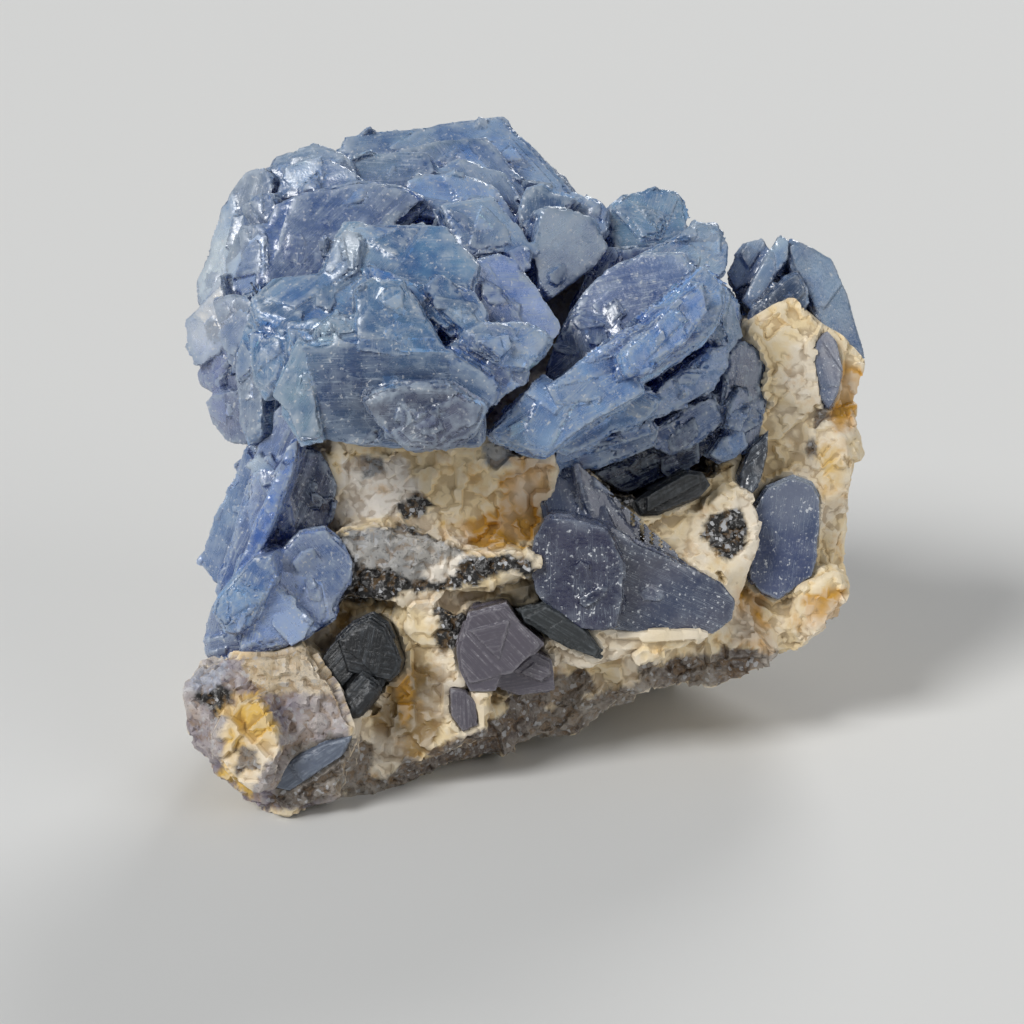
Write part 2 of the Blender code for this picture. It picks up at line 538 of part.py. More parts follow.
def largest_piece(thing):
    """Merges points that coincide, then keeps the one main body and drops the chips that a cut has left.
    A chip that only touches the body along an edge shares an edge of more than two faces with it."""
    mesh = bmesh.new()
    mesh.from_mesh(thing.data)
    bmesh.ops.remove_doubles(mesh, verts=mesh.verts[:], dist=MERGE)
    bmesh.ops.dissolve_degenerate(mesh, edges=mesh.edges[:], dist=MERGE)
    bmesh.ops.triangulate(mesh, faces=[f for f in mesh.faces if len(f.verts) > 3])
    left = set(mesh.faces)
    bodies = []
    while left:
        seed = left.pop()
        body, open_ends = {seed}, [seed]
        while open_ends:
            for edge in open_ends.pop().edges:
                if len(edge.link_faces) != 2:
                    continue
                for face in edge.link_faces:
                    if face in left:
                        left.discard(face)
                        body.add(face)
                        open_ends.append(face)
        bodies.append(body)
    main_body = max(bodies, key=lambda body: sum(f.calc_area() for f in body))
    bmesh.ops.delete(mesh, geom=[f for f in mesh.faces if f not in main_body], context="FACES")
    bmesh.ops.delete(mesh, geom=[v for v in mesh.verts if not v.link_faces], context="VERTS")
    bmesh.ops.recalc_face_normals(mesh, faces=mesh.faces[:])
    mesh.to_mesh(thing.data)
    mesh.free()


def join_group(name, group):
    """One solid of all the crystals in a group that have grown into each other."""
    keys = list(group)
    first = {keys[0]: group[keys[0]]}
    rest = {key: group[key] for key in keys[1:]}
    thing = object_of(name, shells(name, first))
    if rest:
        helper = object_of("helper", shells("helper", rest))
        boolean(thing, helper, "UNION")
        discard(helper)
    return thing


def cut_free(thing, neighbours):
    """Cuts the object back from the groups named, so that a thin gap is left between them."""
    room = {}
    for other in neighbours:
        helper = object_of("helper", shells("helper", GROUPS[other], GAP))
        if boxes_meet(thing, helper):
            room.update({other + key: shape for key, shape in GROUPS[other].items()})
        discard(helper)
    if room:
        helper = object_of("helper", shells("helper", room, GAP))
        boolean(thing, helper, "DIFFERENCE")
        discard(helper)
    largest_piece(thing)


def box_of(thing):
    """The lowest and highest corner of an object's mesh."""
    corners = [v.co for v in thing.data.vertices]
    low = Vector([min(c[i] for c in corners) for i in range(3)])
    high = Vector([max(c[i] for c in corners) for i in range(3)])
    return low, high


def boxes_meet(one, other):
    """True if the bounding boxes of two objects overlap."""
    (low_a, high_a), (low_b, high_b) = box_of(one), box_of(other)
    return all(low_a[i] < high_b[i] and low_b[i] < high_a[i] for i in range(3))


def roughen(thing, size, amount):
    """Moves each point of the rock along its normal by blocky noise, so that its faces break like stone."""
    mesh = thing.data
    normals = [v.normal.copy() for v in mesh.vertices]
    for vertex, normal in zip(mesh.vertices, normals):
        place = (vertex.co - UNDER_SHEET) / size
        lumps = noise.noise(place)
        facets = noise.voronoi(place * FACETS_PER_LUMP)[0][0]
        vertex.co += normal * amount * (lumps * LUMP_SHARE + facets * FACET_SHARE - MEAN_HEIGHT)


def block_beyond(place, facing_way):
    """A large block whose near side passes through a place and faces against the direction given."""
    block = bmesh.new()
    bmesh.ops.create_cube(block, size=BLOCK)
    bmesh.ops.translate(block, verts=block.verts[:], vec=(0.0, 0.0, BLOCK / 2))
    turn = Vector(facing_way).to_track_quat("Z", "Y").to_matrix().to_4x4()
    bmesh.ops.transform(block, matrix=turn, verts=block.verts[:])
    bmesh.ops.translate(block, verts=block.verts[:], vec=place)
    data = bpy.data.meshes.new("block")
    block.to_mesh(data)
    block.free()
    return object_of("block", data)


def split_off(thing, place, facing_way):
    """Breaks away all that lies beyond a plane."""
    helper = block_beyond(place, facing_way)
    boolean(thing, helper, "DIFFERENCE")
    discard(helper)


def make_rock():
    """The rock: lumps melted together, roughened, thinned to flat facets and cut level at the base."""
    rock = join_group("matrix_rock", ROCK)
    for place, facing_way in BREAKS:
        split_off(rock, UNDER_SHEET + Vector(place) * MM, facing_way)
    melt = rock.modifiers.new("melt", "REMESH")
    melt.mode = "VOXEL"
    melt.voxel_size = ROCK_VOXEL
    rock.data = evaluated_copy(rock, "matrix_rock")
    rock.modifiers.clear()
    roughen(rock, BREAK_SIZE, BREAK_HEIGHT)
    thin = rock.modifiers.new("thin", "DECIMATE")
    thin.ratio = ROCK_TRIANGLES / (2 * len(rock.data.polygons))
    rock.data = evaluated_copy(rock, "matrix_rock")
    rock.modifiers.clear()
    split_off(rock, Vector(), (0.0, 0.0, -1.0))
    cut_free(rock, list(GROUPS))
    return rock


def finish_of(name):
    """A Principled material in the piece's own colour."""
    material = bpy.data.materials.new(name)
    material.use_nodes = True
    shader = material.node_tree.nodes["Principled BSDF"]
    shader.inputs["Base Color"].default_value = (*COLOURS[name], 1.0)
    shader.inputs["Roughness"].default_value = ROCK_ROUGHNESS if name == "matrix_rock" else CRYSTAL_ROUGHNESS
    shader.inputs["Metallic"].default_value = 0.0
    return material


def clear_scene():
    """Removes the objects that a new file starts with."""
    for thing in list(bpy.data.objects):
        bpy.data.objects.remove(thing)


def main():
    clear_scene()
    made = []
    for name, group in GROUPS.items():
        thing = join_group(name, group)
        cut_free(thing, list(made))
        made.append(name)
        thing.data.materials.clear()
        thing.data.materials.append(finish_of(name))
    rock = make_rock()
    rock.data.materials.clear()
    rock.data.materials.append(finish_of("matrix_rock"))


main()
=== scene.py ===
# %% [markdown]
# # A sapphire crystal cluster on its rock
# The real specimen is a hand-sized piece of cream feldspar rock with black mica. Flat blue sapphire crystals have
# grown over it in a large rosette, a fan, and a spray of long blades. The solids give every crystal and lump of
# rock its place. This lesson dresses them: it grows thin steps on the crystals, breaks up the rock, and
# gives each mineral its own material. First the solids are loaded, and their box is kept.

# %% Load the solids
import math
import random

import bmesh
import bpy
import numpy as np
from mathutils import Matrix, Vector, bvhtree


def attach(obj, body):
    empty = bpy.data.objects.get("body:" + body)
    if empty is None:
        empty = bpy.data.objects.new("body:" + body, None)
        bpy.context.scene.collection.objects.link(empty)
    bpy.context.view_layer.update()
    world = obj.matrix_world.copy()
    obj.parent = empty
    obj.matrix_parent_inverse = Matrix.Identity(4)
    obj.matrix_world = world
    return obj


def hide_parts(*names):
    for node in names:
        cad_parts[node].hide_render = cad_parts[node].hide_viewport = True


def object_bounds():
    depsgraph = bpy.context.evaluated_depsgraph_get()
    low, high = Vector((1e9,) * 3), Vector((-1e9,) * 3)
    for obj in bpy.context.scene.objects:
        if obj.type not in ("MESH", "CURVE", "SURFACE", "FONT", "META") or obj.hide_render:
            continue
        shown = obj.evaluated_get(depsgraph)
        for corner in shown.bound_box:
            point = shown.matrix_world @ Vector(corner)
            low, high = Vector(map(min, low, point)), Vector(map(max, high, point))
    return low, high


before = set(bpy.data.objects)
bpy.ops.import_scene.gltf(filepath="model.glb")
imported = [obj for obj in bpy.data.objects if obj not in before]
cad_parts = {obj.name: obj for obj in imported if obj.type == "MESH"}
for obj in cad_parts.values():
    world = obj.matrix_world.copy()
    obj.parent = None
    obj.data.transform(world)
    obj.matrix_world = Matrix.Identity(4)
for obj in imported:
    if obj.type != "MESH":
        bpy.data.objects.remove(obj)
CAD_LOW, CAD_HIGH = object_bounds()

MM = 0.001
print("solids:", len(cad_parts), "box mm:", [round((h - l) / MM, 1) for l, h in zip(CAD_LOW, CAD_HIGH)])

# %% [markdown]
# The specimen is looked at from a little above, along one line of sight. It helps to think of a drawing sheet
# that stands upright through the specimen, square to that line: a place on the sheet is easy to point at, and a
# straight line from the eye through it meets the specimen where that detail belongs. The sheet is 1024 units
# wide. The camera stands at the same eye, so the render and the sheet agree.

# %% The drawing sheet and the eye
SHEET_WIDTH = 1024.0
UNIT = (97.5 * MM) / 682.0
LOOK_DOWN = math.radians(18.0)
LENS_MM, SENSOR_MM = 85.0, 36.0
EYE_DISTANCE = LENS_MM / SENSOR_MM * SHEET_WIDTH * UNIT
RIGHT = Vector((1.0, 0.0, 0.0))
UP = Vector((0.0, math.sin(LOOK_DOWN), math.cos(LOOK_DOWN)))
TOWARDS = Vector((0.0, -math.cos(LOOK_DOWN), math.sin(LOOK_DOWN)))
SHEET_CENTRE = Vector((-2.23 * MM, -1.51 * MM, 32.0 * MM))
EYE = SHEET_CENTRE + TOWARDS * EYE_DISTANCE


def on_sheet(points):
    """Where points in space appear on the sheet, as an array of u (to the right) and v (downwards)."""
    away = points - np.array(EYE)
    depth = -away @ np.array(TOWARDS)
    u = SHEET_WIDTH / 2 + away @ np.array(RIGHT) / depth * (EYE_DISTANCE / UNIT)
    v = SHEET_WIDTH / 2 - away @ np.array(UP) / depth * (EYE_DISTANCE / UNIT)
    return np.stack([u, v], axis=1)


print("eye to sheet: %.0f mm" % (EYE_DISTANCE / MM))

# %% [markdown]
# Blender's noise textures work inside materials. To move points of a mesh by noise the same kind of function is
# needed in Python. `lumps` gives smooth noise, and `chips` gives flat facets at random tilts, which is how
# brittle stone breaks. Both work on a whole mesh at once with numpy, which is far quicker than a loop.

# %% Noise for shaping meshes
def dice_at(cell, seed):
    """A random number from -1 to 1 for each whole-number cell in space."""
    x, y, z = (cell[..., i].astype(np.uint64) for i in range(3))
    mixed = (x * np.uint64(73856093)) ^ (y * np.uint64(19349663)) ^ (z * np.uint64(83492791))
    mixed = mixed ^ np.uint64(seed * 7919)
    mixed = (mixed ^ (mixed >> np.uint64(13))) * np.uint64(1274126177)
    mixed = (mixed ^ (mixed >> np.uint64(16))) & np.uint64(0xFFFF)
    return mixed.astype(float) / 32767.5 - 1.0


CELL_OFFSET = 4096


def lumps(points, size_mm, seed=0):
    """Smooth noise from -1 to 1, with lumps about this many millimetres across."""
    place = points / (size_mm * MM) + seed * 7.31 + CELL_OFFSET
    cell = np.floor(place)
    part = place - cell
    ease = part * part * (3.0 - 2.0 * part)
    total = np.zeros(len(points))
    for corner in np.ndindex(2, 2, 2):
        weight = np.prod([ease[:, i] if c else 1.0 - ease[:, i] for i, c in enumerate(corner)], axis=0)
        total += weight * dice_at(cell + np.array(corner), seed)
    return total


def chips(points, size_mm, seed=0, flatten=(1.0, 1.0, 1.0)):
    """The height of flat facets at random tilts, about this many millimetres across."""
    place = points / (size_mm * MM) / np.array(flatten) + seed * 3.17 + CELL_OFFSET
    cell = np.floor(place)
    nearest = np.full(len(points), 9.0)
    height = np.zeros(len(points))
    for step in np.ndindex(3, 3, 3):
        home = cell + np.array(step) - 1.0
        seat = home + 0.5 + 0.45 * np.stack([dice_at(home, seed + k) for k in (1, 2, 3)], axis=1)
        tilt = np.stack([dice_at(home, seed + k) for k in (4, 5, 6)], axis=1)
        away = place - seat
        distance = np.sqrt((away ** 2).sum(axis=1))
        closer = distance < nearest
        height = np.where(closer, (away * tilt).sum(axis=1) + 0.5 * dice_at(home, seed + 7), height)
        nearest = np.where(closer, distance, nearest)
    return height


# %% [markdown]
# A crystal's face isn't one flat plane. Sapphire grows in thin layers, and each layer stops short of the one
# below, so a face carries low straight-edged terraces, and the side of a plate looks like the edge of a book.
# Both can be built the same way: a thin slab with the outline of the face, laid on it or slid out of its side.
# A Boolean could join hundreds of slabs to the crystal, but the skin that is made next melts overlapping closed
# shapes into one by itself, and far more quickly.

# %% Faces of a crystal
SAME_PLANE = math.radians(1.2)


def put_in_scene(name, data):
    """A new object in the scene with this mesh."""
    thing = bpy.data.objects.new(name, data)
    bpy.context.scene.collection.objects.link(thing)
    return thing


def mesh_of_solid(node):
    """A bmesh of one solid, with its split corners merged so that it is closed again."""
    mesh = bmesh.new()
    mesh.from_mesh(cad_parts[node].data)
    bmesh.ops.remove_doubles(mesh, verts=mesh.verts[:], dist=1e-6)
    return mesh


def finished(mesh, name):
    """Turns a bmesh into a named mesh and frees it."""
    data = bpy.data.meshes.new(name)
    mesh.to_mesh(data)
    mesh.free()
    return data


def applied(thing):
    """Bakes an object's modifiers into its mesh."""
    graph = bpy.context.evaluated_depsgraph_get()
    data = bpy.data.meshes.new_from_object(thing.evaluated_get(graph))
    old = thing.data
    thing.modifiers.clear()
    thing.data = data
    bpy.data.meshes.remove(old)


def flat_faces(node, least_mm2):
    """The flat faces of a solid over a certain area: each one's outline points, middle, normal and area."""
    mesh = mesh_of_solid(node)
    bmesh.ops.dissolve_limit(mesh, angle_limit=SAME_PLANE, verts=mesh.verts[:], edges=mesh.edges[:])
    faces = []
    for face in mesh.faces:
        area = face.calc_area() / MM ** 2
        if area > least_mm2:
            corners = [v.co.copy() for v in face.verts]
            faces.append((corners, face.calc_center_median(), face.normal.copy(), area))
    mesh.free()
    return faces


def axes_on(normal, points):
    """Two directions in a face's plane: along its longest side, and across that."""
    sides = [(b - a) for a, b in zip(points, points[1:] + points[:1])]
    along = max(sides, key=lambda side: side.length).normalized()
    return along, normal.cross(along).normalized()


def convex(flat):
    """The convex hull of points in a plane, anticlockwise."""
    ordered = sorted(flat)
    hull = []
    for run in (ordered, ordered[::-1]):
        side = []
        for p in run:
            while len(side) > 1 and ((side[-1][0] - side[-2][0]) * (p[1] - side[-2][1])
                                     <= (side[-1][1] - side[-2][1]) * (p[0] - side[-2][0])):
                side.pop()
            side.append(p)
        hull += side[:-1]
    return hull


def clipped(flat, normal, limit):
    """The part of a convex outline on the near side of a line."""
    kept = []
    for a, b in zip(flat, flat[1:] + flat[:1]):
        da, db = (p[0] * normal[0] + p[1] * normal[1] - limit for p in (a, b))
        if da <= 0:
            kept.append(a)
        if da * db < 0:
            t = da / (da - db)
            kept.append((a[0] + (b[0] - a[0]) * t, a[1] + (b[1] - a[1]) * t))
    return kept


def slab(mesh, flat, frame_of_face, low, high):
    """Adds a thin closed slab with this outline to a bmesh, between two heights above the face, in metres."""
    middle, along, across, normal = frame_of_face
    rings = []
    for height in (high, low):
        rings.append([mesh.verts.new(middle + along * x + across * y + normal * height)
                      for x, y in flat])
    top, bottom = rings
    mesh.faces.new(top)
    mesh.faces.new(bottom[::-1])
    for i in range(len(flat)):
        j = (i + 1) % len(flat)
        mesh.faces.new((top[j], top[i], bottom[i], bottom[j]))


# %% [markdown]
# Three kinds of slab are used. A terrace lies on a face and is cut off by a few straight lines at 60 degrees
# to each other, the angles that sapphire keeps. A ledge is a layer that sticks out of the side of a plate by
# a few tenths of a millimetre. A shard is a small plate of its own, grown or broken on a face and slightly
# tilted.

# %% Terraces, ledges and shards
TERRACE_RISE = (0.10, 0.34)
LEDGE_THICK = (0.16, 0.42)
LEDGE_GAP = (0.35, 1.0)
SHARD_LENGTH = (1.0, 3.2)
SHARD_RISE = (0.12, 0.42)
SHARD_TILT = 0.14
SHARD_AREA = 13.0
CRYSTAL_ANGLE = math.radians(60.0)
SUNK = 0.15 * MM
LAST_TERRACE = 0.22
FACES_FRONT = 0.45


def hexagon_cut(flat, dice, keep_least):
    """A face's outline cut off by one to three lines at crystal angles, each set in from the rim by chance."""
    turn = dice.choice([0.0, CRYSTAL_ANGLE / 2])
    shape = flat
    for _ in range(dice.choice([1, 2, 2, 3])):
        angle = turn + dice.randrange(6) * CRYSTAL_ANGLE
        normal = (math.cos(angle), math.sin(angle))
        reach = [p[0] * normal[0] + p[1] * normal[1] for p in shape]
        limit = min(reach) + (max(reach) - min(reach)) * dice.uniform(keep_least, 0.92)
        smaller = clipped(shape, normal, limit)
        if len(smaller) < 3:
            break
        shape = smaller
    return shape


def shrunk(flat, by):
    """An outline drawn in towards its middle, by a factor."""
    mx = sum(p[0] for p in flat) / len(flat)
    my = sum(p[1] for p in flat) / len(flat)
    return [(mx + (x - mx) * by, my + (y - my) * by) for x, y in flat]


def shard(mesh, flat, plane, dice):
    """Adds a small tilted plate on a face: a long hexagon with uneven corners, somewhere inside the outline."""
    middle, along, across, normal = plane
    a, b = dice.sample(range(len(flat)), 2)
    part, inwards = dice.random(), dice.uniform(0.0, 0.9)
    x, y = ((flat[a][i] * part + flat[b][i] * (1.0 - part)) * inwards for i in (0, 1))
    turn = dice.choice([0.0, 0.0, CRYSTAL_ANGLE, -CRYSTAL_ANGLE]) + dice.uniform(-0.15, 0.15)
    long_way = along * math.cos(turn) + across * math.sin(turn)
    lean = (normal + long_way * dice.gauss(0.0, SHARD_TILT)
            + normal.cross(long_way) * dice.gauss(0.0, SHARD_TILT))
    lean.normalize()
    short_way = lean.cross(long_way).normalized()
    long_way = short_way.cross(lean)
    half = dice.uniform(*SHARD_LENGTH) * MM
    wide = half * dice.uniform(0.28, 0.7)
    corners = [(1.0, 0.3), (0.75, 1.0), (-0.7, 1.0), (-1.0, 0.2), (-0.8, -1.0), (0.7, -1.0)]
    outline = convex([(half * (u + dice.uniform(-0.2, 0.2)), wide * (v + dice.uniform(-0.2, 0.2)))
                      for u, v in corners])
    rise = dice.uniform(*SHARD_RISE) * MM
    slab(mesh, outline, (middle + along * x + across * y, long_way, short_way, lean), -3.0 * SUNK, rise)


def grow_layers(thing, node, least_mm2, terraces, ledge_depth_mm, shards, seed):
    """Adds terraces and shards to the larger faces of a crystal group and ledges down the sides of its plates."""
    dice = random.Random(seed)
    faces = flat_faces(node, least_mm2)
    mesh = bmesh.new()
    mesh.from_mesh(thing.data)
    count = 0
    for points, middle, normal, area in faces:
        along, across = axes_on(normal, points)
        flat = convex([((p - middle).dot(along), (p - middle).dot(across)) for p in points])
        if len(flat) < 3:
            continue
        plane = (middle, along, across, normal)
        height = 0.0
        shape = shrunk(flat, dice.uniform(0.90, 0.97))
        for _ in range(terraces):
            if dice.random() < LAST_TERRACE:
                break
            shape = hexagon_cut(shape, dice, 0.5)
            if len(shape) < 3:
                break
            rise = dice.uniform(*TERRACE_RISE) * MM
            slab(mesh, shape, plane, height - SUNK, height + rise)
            height += rise
            shape = shrunk(shape, dice.uniform(0.80, 0.94))
            count += 1
        for _ in range(round(shards * area / SHARD_AREA * dice.uniform(0.4, 1.5))):
            shard(mesh, flat, plane, dice)
            count += 1
        if normal.dot(TOWARDS) > FACES_FRONT:
            down = dice.uniform(*LEDGE_GAP)
            while down < ledge_depth_mm:
                thick = dice.uniform(*LEDGE_THICK)
                wider = 1.0 + dice.uniform(0.08, 0.42) / max(math.sqrt(area) / 2, 2.0)
                edge = hexagon_cut(shrunk(flat, wider), dice, 0.72)
                slab(mesh, edge, plane, -(down + thick) * MM, -down * MM)
                down += thick + dice.uniform(*LEDGE_GAP)
                count += 1
    mesh.to_mesh(thing.data)
    mesh.free()
    print(f"{node}: {len(faces)} faces, {count} slabs")


# %% [markdown]
# No edge of a real crystal is a perfect line, and no face is quite smooth. So the layered mesh is given a new
# skin with a voxel remesh, its points are laid back on the flat faces, and then the skin is worked: fine steps
# run along every face, and the edges lose chips. Two measures are taken from it for the materials. A ridge is
# where a point stands out from a smoothed copy of the mesh, and openness is how much of the sky a point sees.

# %% Skin, chips and measures
MOST_TRIANGLES = 190000
SMOOTH_ROUNDS = 5
RIDGE_HEIGHT = 0.08 * MM
CREASE = math.radians(30.0)
SKY_RAYS = 10
SKY_REACH = 16.0 * MM
SKY_LIFT = 0.5 * MM


def points_and_normals(data):
    """All points of a mesh and their normals, as arrays."""
    points = np.empty(len(data.vertices) * 3)
    normals = np.empty(len(data.vertices) * 3)
    data.vertices.foreach_get("co", points)
    data.vertices.foreach_get("normal", normals)
    return points.reshape(-1, 3), normals.reshape(-1, 3)


def new_skin(thing, voxel):
    """Gives an object an even skin of small faces."""
    skin = thing.modifiers.new("skin", "REMESH")
    skin.mode = "VOXEL"
    skin.voxel_size = voxel
    applied(thing)


def thinned(thing, most):
    """Merges the least needed faces until no more than this many triangles are left."""
    triangles = 2 * len(thing.data.polygons)
    if triangles > most:
        thin = thing.modifiers.new("thin", "DECIMATE")
        thin.ratio = most / triangles
        thin.use_collapse_triangulate = True
        applied(thing)


def smoothed(points, data, rounds):
    """The points after each has moved towards the mean of its neighbours a number of times."""
    ends = np.empty(len(data.edges) * 2, np.int64)
    data.edges.foreach_get("vertices", ends)
    here, there = np.concatenate([ends.reshape(-1, 2), ends.reshape(-1, 2)[:, ::-1]]).T
    count = np.maximum(np.bincount(here, minlength=len(points)), 1)[:, None]
    for _ in range(rounds):
        total = np.stack([np.bincount(here, points[there, k], len(points)) for k in range(3)], axis=1)
        points = 0.5 * points + 0.5 * total / count
    return points


def ridges(data):
    """1 on sharp ridges, 0 on flat faces and -1 in sharp valleys."""
    points, normals = points_and_normals(data)
    out = ((points - smoothed(points, data, SMOOTH_ROUNDS)) * normals).sum(axis=1)
    return np.clip(out / RIDGE_HEIGHT, -1.0, 1.0)


def tree_of(nodes):
    """A search tree over the surfaces of these solids."""
    verts, polys = [], []
    for node in nodes:
        start = len(verts)
        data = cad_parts[node].data
        verts += [v.co.copy() for v in data.vertices]
        polys += [tuple(i + start for i in p.vertices) for p in data.polygons]
    return bvhtree.BVHTree.FromPolygons(verts, polys)


ALL_SOLIDS = tree_of(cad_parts)
GOLDEN = math.pi * (3.0 - math.sqrt(5.0))


def openness(data):
    """How much of the space in front of each point is free of other parts of the specimen, from 0 to 1.
    A wall that is met from inside is the point's own, so the point sees past it."""
    points, normals = points_and_normals(data)
    helper = np.where(np.abs(normals[:, 2:3]) < 0.9, [[0.0, 0.0, 1.0]], [[1.0, 0.0, 0.0]])
    side = np.cross(normals, helper)
    side /= np.linalg.norm(side, axis=1)[:, None] + 1e-12
    other = np.cross(normals, side)
    start = points + normals * SKY_LIFT
    seen = np.zeros(len(points))
    for i in range(SKY_RAYS):
        rise = math.sqrt(1.0 - (i + 0.5) / SKY_RAYS)
        flat = math.sqrt(1.0 - rise * rise)
        turn = i * GOLDEN
        ways = normals * rise + side * (flat * math.cos(turn)) + other * (flat * math.sin(turn))
        cast = ALL_SOLIDS.ray_cast
        for k, (place, way) in enumerate(zip(start.tolist(), map(Vector, ways.tolist()))):
            _, wall, _, distance = cast(place, way, SKY_REACH)
            met = distance is not None and wall.dot(way) < 0.0
            seen[k] += distance / SKY_REACH * 0.6 if met else 1.0
    return seen / SKY_RAYS


def store(data, name, values, domain="POINT"):
    """Stores numbers, vectors or colours on a mesh under a name that a material can read."""
    values = np.asarray(values, float)
    if values.ndim == 1:
        data.attributes.new(name, "FLOAT", domain).data.foreach_set("value", values)
    elif name == "grain":
        data.attributes.new(name, "FLOAT_VECTOR", domain).data.foreach_set("vector", values.ravel())
    else:
        rgba = np.ones((len(values), 4))
        rgba[:, :3] = np.clip(values, 0.0, 1.0)
        data.attributes.new(name, "FLOAT_COLOR", domain).data.foreach_set("color", rgba.ravel())


def within_box(points):
    """Keeps points inside the box of the solids, so that no detail makes the specimen larger."""
    return np.clip(points, np.array(CAD_LOW), np.array(CAD_HIGH))


# %% [markdown]
# Every flat face has its own grain: three numbers at each corner say how far the corner lies along, across and
# out of the face, in millimetres. Streaks drawn in those numbers follow the crystal. The face's tone comes from
# named round spots of colour on the sheet, blended softly, with a little chance so that neighbours differ.

# %% Grain and tone
BASE_WEIGHT = 0.35
SPOT_WEIGHT = 5.0
SPOT_FALL = 1.4
STEP_LEVELS = 2.5
EDGE_GAIN = 1.6
FACET_SHARE = 0.7


def linear(code):
    """An sRGB hex colour such as #7D9BBF as three linear values."""
    parts = [int(code[i:i + 2], 16) / 255.0 for i in (1, 3, 5)]
    return tuple(c / 12.92 if c <= 0.04045 else ((c + 0.055) / 1.055) ** 2.4 for c in parts)


def named_spots(table):
    """The same table with each hex colour made linear."""
    return {name: (u, v, radius, linear(code)) for name, (u, v, radius, code) in table.items()}


def blend_spots(where, spots, base):
    """Colours at places on the sheet: named round spots of colour, blended softly over a base colour."""
    total = np.full(len(where), BASE_WEIGHT)
    colour = np.outer(total, np.array(base))
    for u, v, radius, tone in spots.values():
        distance = (where[:, 0] - u) ** 2 + (where[:, 1] - v) ** 2
        near = np.exp(-distance / radius ** 2 * SPOT_FALL) * SPOT_WEIGHT
        colour += near[:, None] * np.array(tone)
        total += near
    return colour / total[:, None]


def face_frames(thing):
    """The flat faces of a layered mesh: a search tree over them, the face of each triangle, and their axes."""
    mesh = bmesh.new()
    mesh.from_mesh(thing.data)
    bmesh.ops.remove_doubles(mesh, verts=mesh.verts[:], dist=2e-6)
    bmesh.ops.dissolve_limit(mesh, angle_limit=SAME_PLANE, verts=mesh.verts[:], edges=mesh.edges[:])
    number = mesh.faces.layers.int.new("number")
    frames = []
    for i, face in enumerate(mesh.faces):
        face[number] = i
        along, across = axes_on(face.normal, [v.co for v in face.verts])
        frames.append((face.calc_center_median(), along, across, face.normal.copy()))
    bmesh.ops.triangulate(mesh, faces=mesh.faces[:])
    of_triangle = [face[number] for face in mesh.faces]
    tree = bvhtree.BVHTree.FromBMesh(mesh)
    mesh.free()
    return tree, of_triangle, np.array([[list(part) for part in f] for f in frames])


def on_faces(places, tree, of_triangle, frames):
    """The nearest point of the flat faces to each place, the face it is on, and where it is in that grain."""
    found = [tree.find_nearest(p) for p in places.tolist()]
    facet = np.array([of_triangle[f[2]] for f in found])
    grain = np.einsum("nij,nj->ni", frames[facet, 1:], places - frames[facet, 0])
    return np.array([tuple(f[0]) for f in found]), facet, grain


def dress_crystal(thing, voxel, most, steps_mm, chips_mm, spots, base, jitter, seed):
    """Skins a layered crystal and works the skin, then stores its grain, tone, ridges and openness."""
    dice = np.random.default_rng(seed)
    tree, of_triangle, frames = face_frames(thing)
    start = dice.uniform(-0.04, 0.04, (len(frames), 3))
    new_skin(thing, voxel)
    data = thing.data
    edge = np.clip(ridges(data) * EDGE_GAIN, 0.0, 1.0)
    points, facet, grain = on_faces(points_and_normals(data)[0], tree, of_triangle, frames)
    along_grain = (grain + start[facet]) * np.array([0.12, 1.0, 0.6])
    across_grain = (grain + start[facet])[:, [1, 0, 2]] * np.array([0.25, 0.6, 0.6])
    levels = lumps(along_grain, 0.8, seed) + 0.6 * lumps(across_grain, 1.3, seed + 1)
    levels = np.round(levels * STEP_LEVELS) / STEP_LEVELS
    hackle = chips(points, 0.8, seed + 2)
    small = np.clip(lumps(points, 1.0, seed + 3) + 0.5 * hackle, 0.0, 1.0)
    large = np.clip(lumps(points, 3.0, seed + 5) - 0.1, 0.0, 1.0)
    lost = edge * (0.5 * small + 1.3 * large) * chips_mm
    push = steps_mm * levels * (1.0 - 0.6 * edge) - lost
    normals = points_and_normals(data)[1]
    way = frames[facet, 3] * (1.0 - edge[:, None]) + normals * edge[:, None]
    data.vertices.foreach_set("co", within_box(points + way * push[:, None] * MM).ravel())
    data.update()
    thinned(thing, most)
    data = thing.data
    data.polygons.foreach_set("use_smooth", np.ones(len(data.polygons), bool))
    data.set_sharp_from_angle(angle=CREASE)
    points = points_and_normals(data)[0]
    middles = np.empty(len(data.polygons) * 3)
    data.polygons.foreach_get("center", middles)
    _, facet, _ = on_faces(middles.reshape(-1, 3), tree, of_triangle, frames)
    sizes = np.empty(len(data.polygons), np.int64)
    data.polygons.foreach_get("loop_total", sizes)
    of_corner = np.repeat(facet, sizes)
    corners = np.empty(len(data.loops), np.int64)
    data.loops.foreach_get("vertex_index", corners)
    tone = blend_spots(on_sheet(frames[:, 0]), spots, base)
    tone *= np.exp(dice.normal(0.0, jitter, len(frames)))[:, None]
    local = blend_spots(on_sheet(points), spots, base)[corners]
    away = points[corners] - frames[of_corner, 0]
    grain = (np.einsum("nij,nj->ni", frames[of_corner, 1:], away) + start[of_corner]) / MM
    store(data, "grain", grain, "CORNER")
    tone = FACET_SHARE * tone[of_corner] + (1.0 - FACET_SHARE) * local
    store(data, "tone", tone, "CORNER")
    store(data, "ridge", ridges(data))
    store(data, "open", openness(data))


# %% [markdown]
# One small function adds a node to a material, with its settings and its links, and gives back one of the node's
# outputs. Each material below then reads as a list of what it is made of. MapRange nodes take numbers 1 to 4 for
# the two values they read and the two they give, and Mix nodes take 0 for the share and 6 and 7 for the colours.

# %% A node with its settings and links
MIXED = {"out": 2, "data_type": "RGBA"}


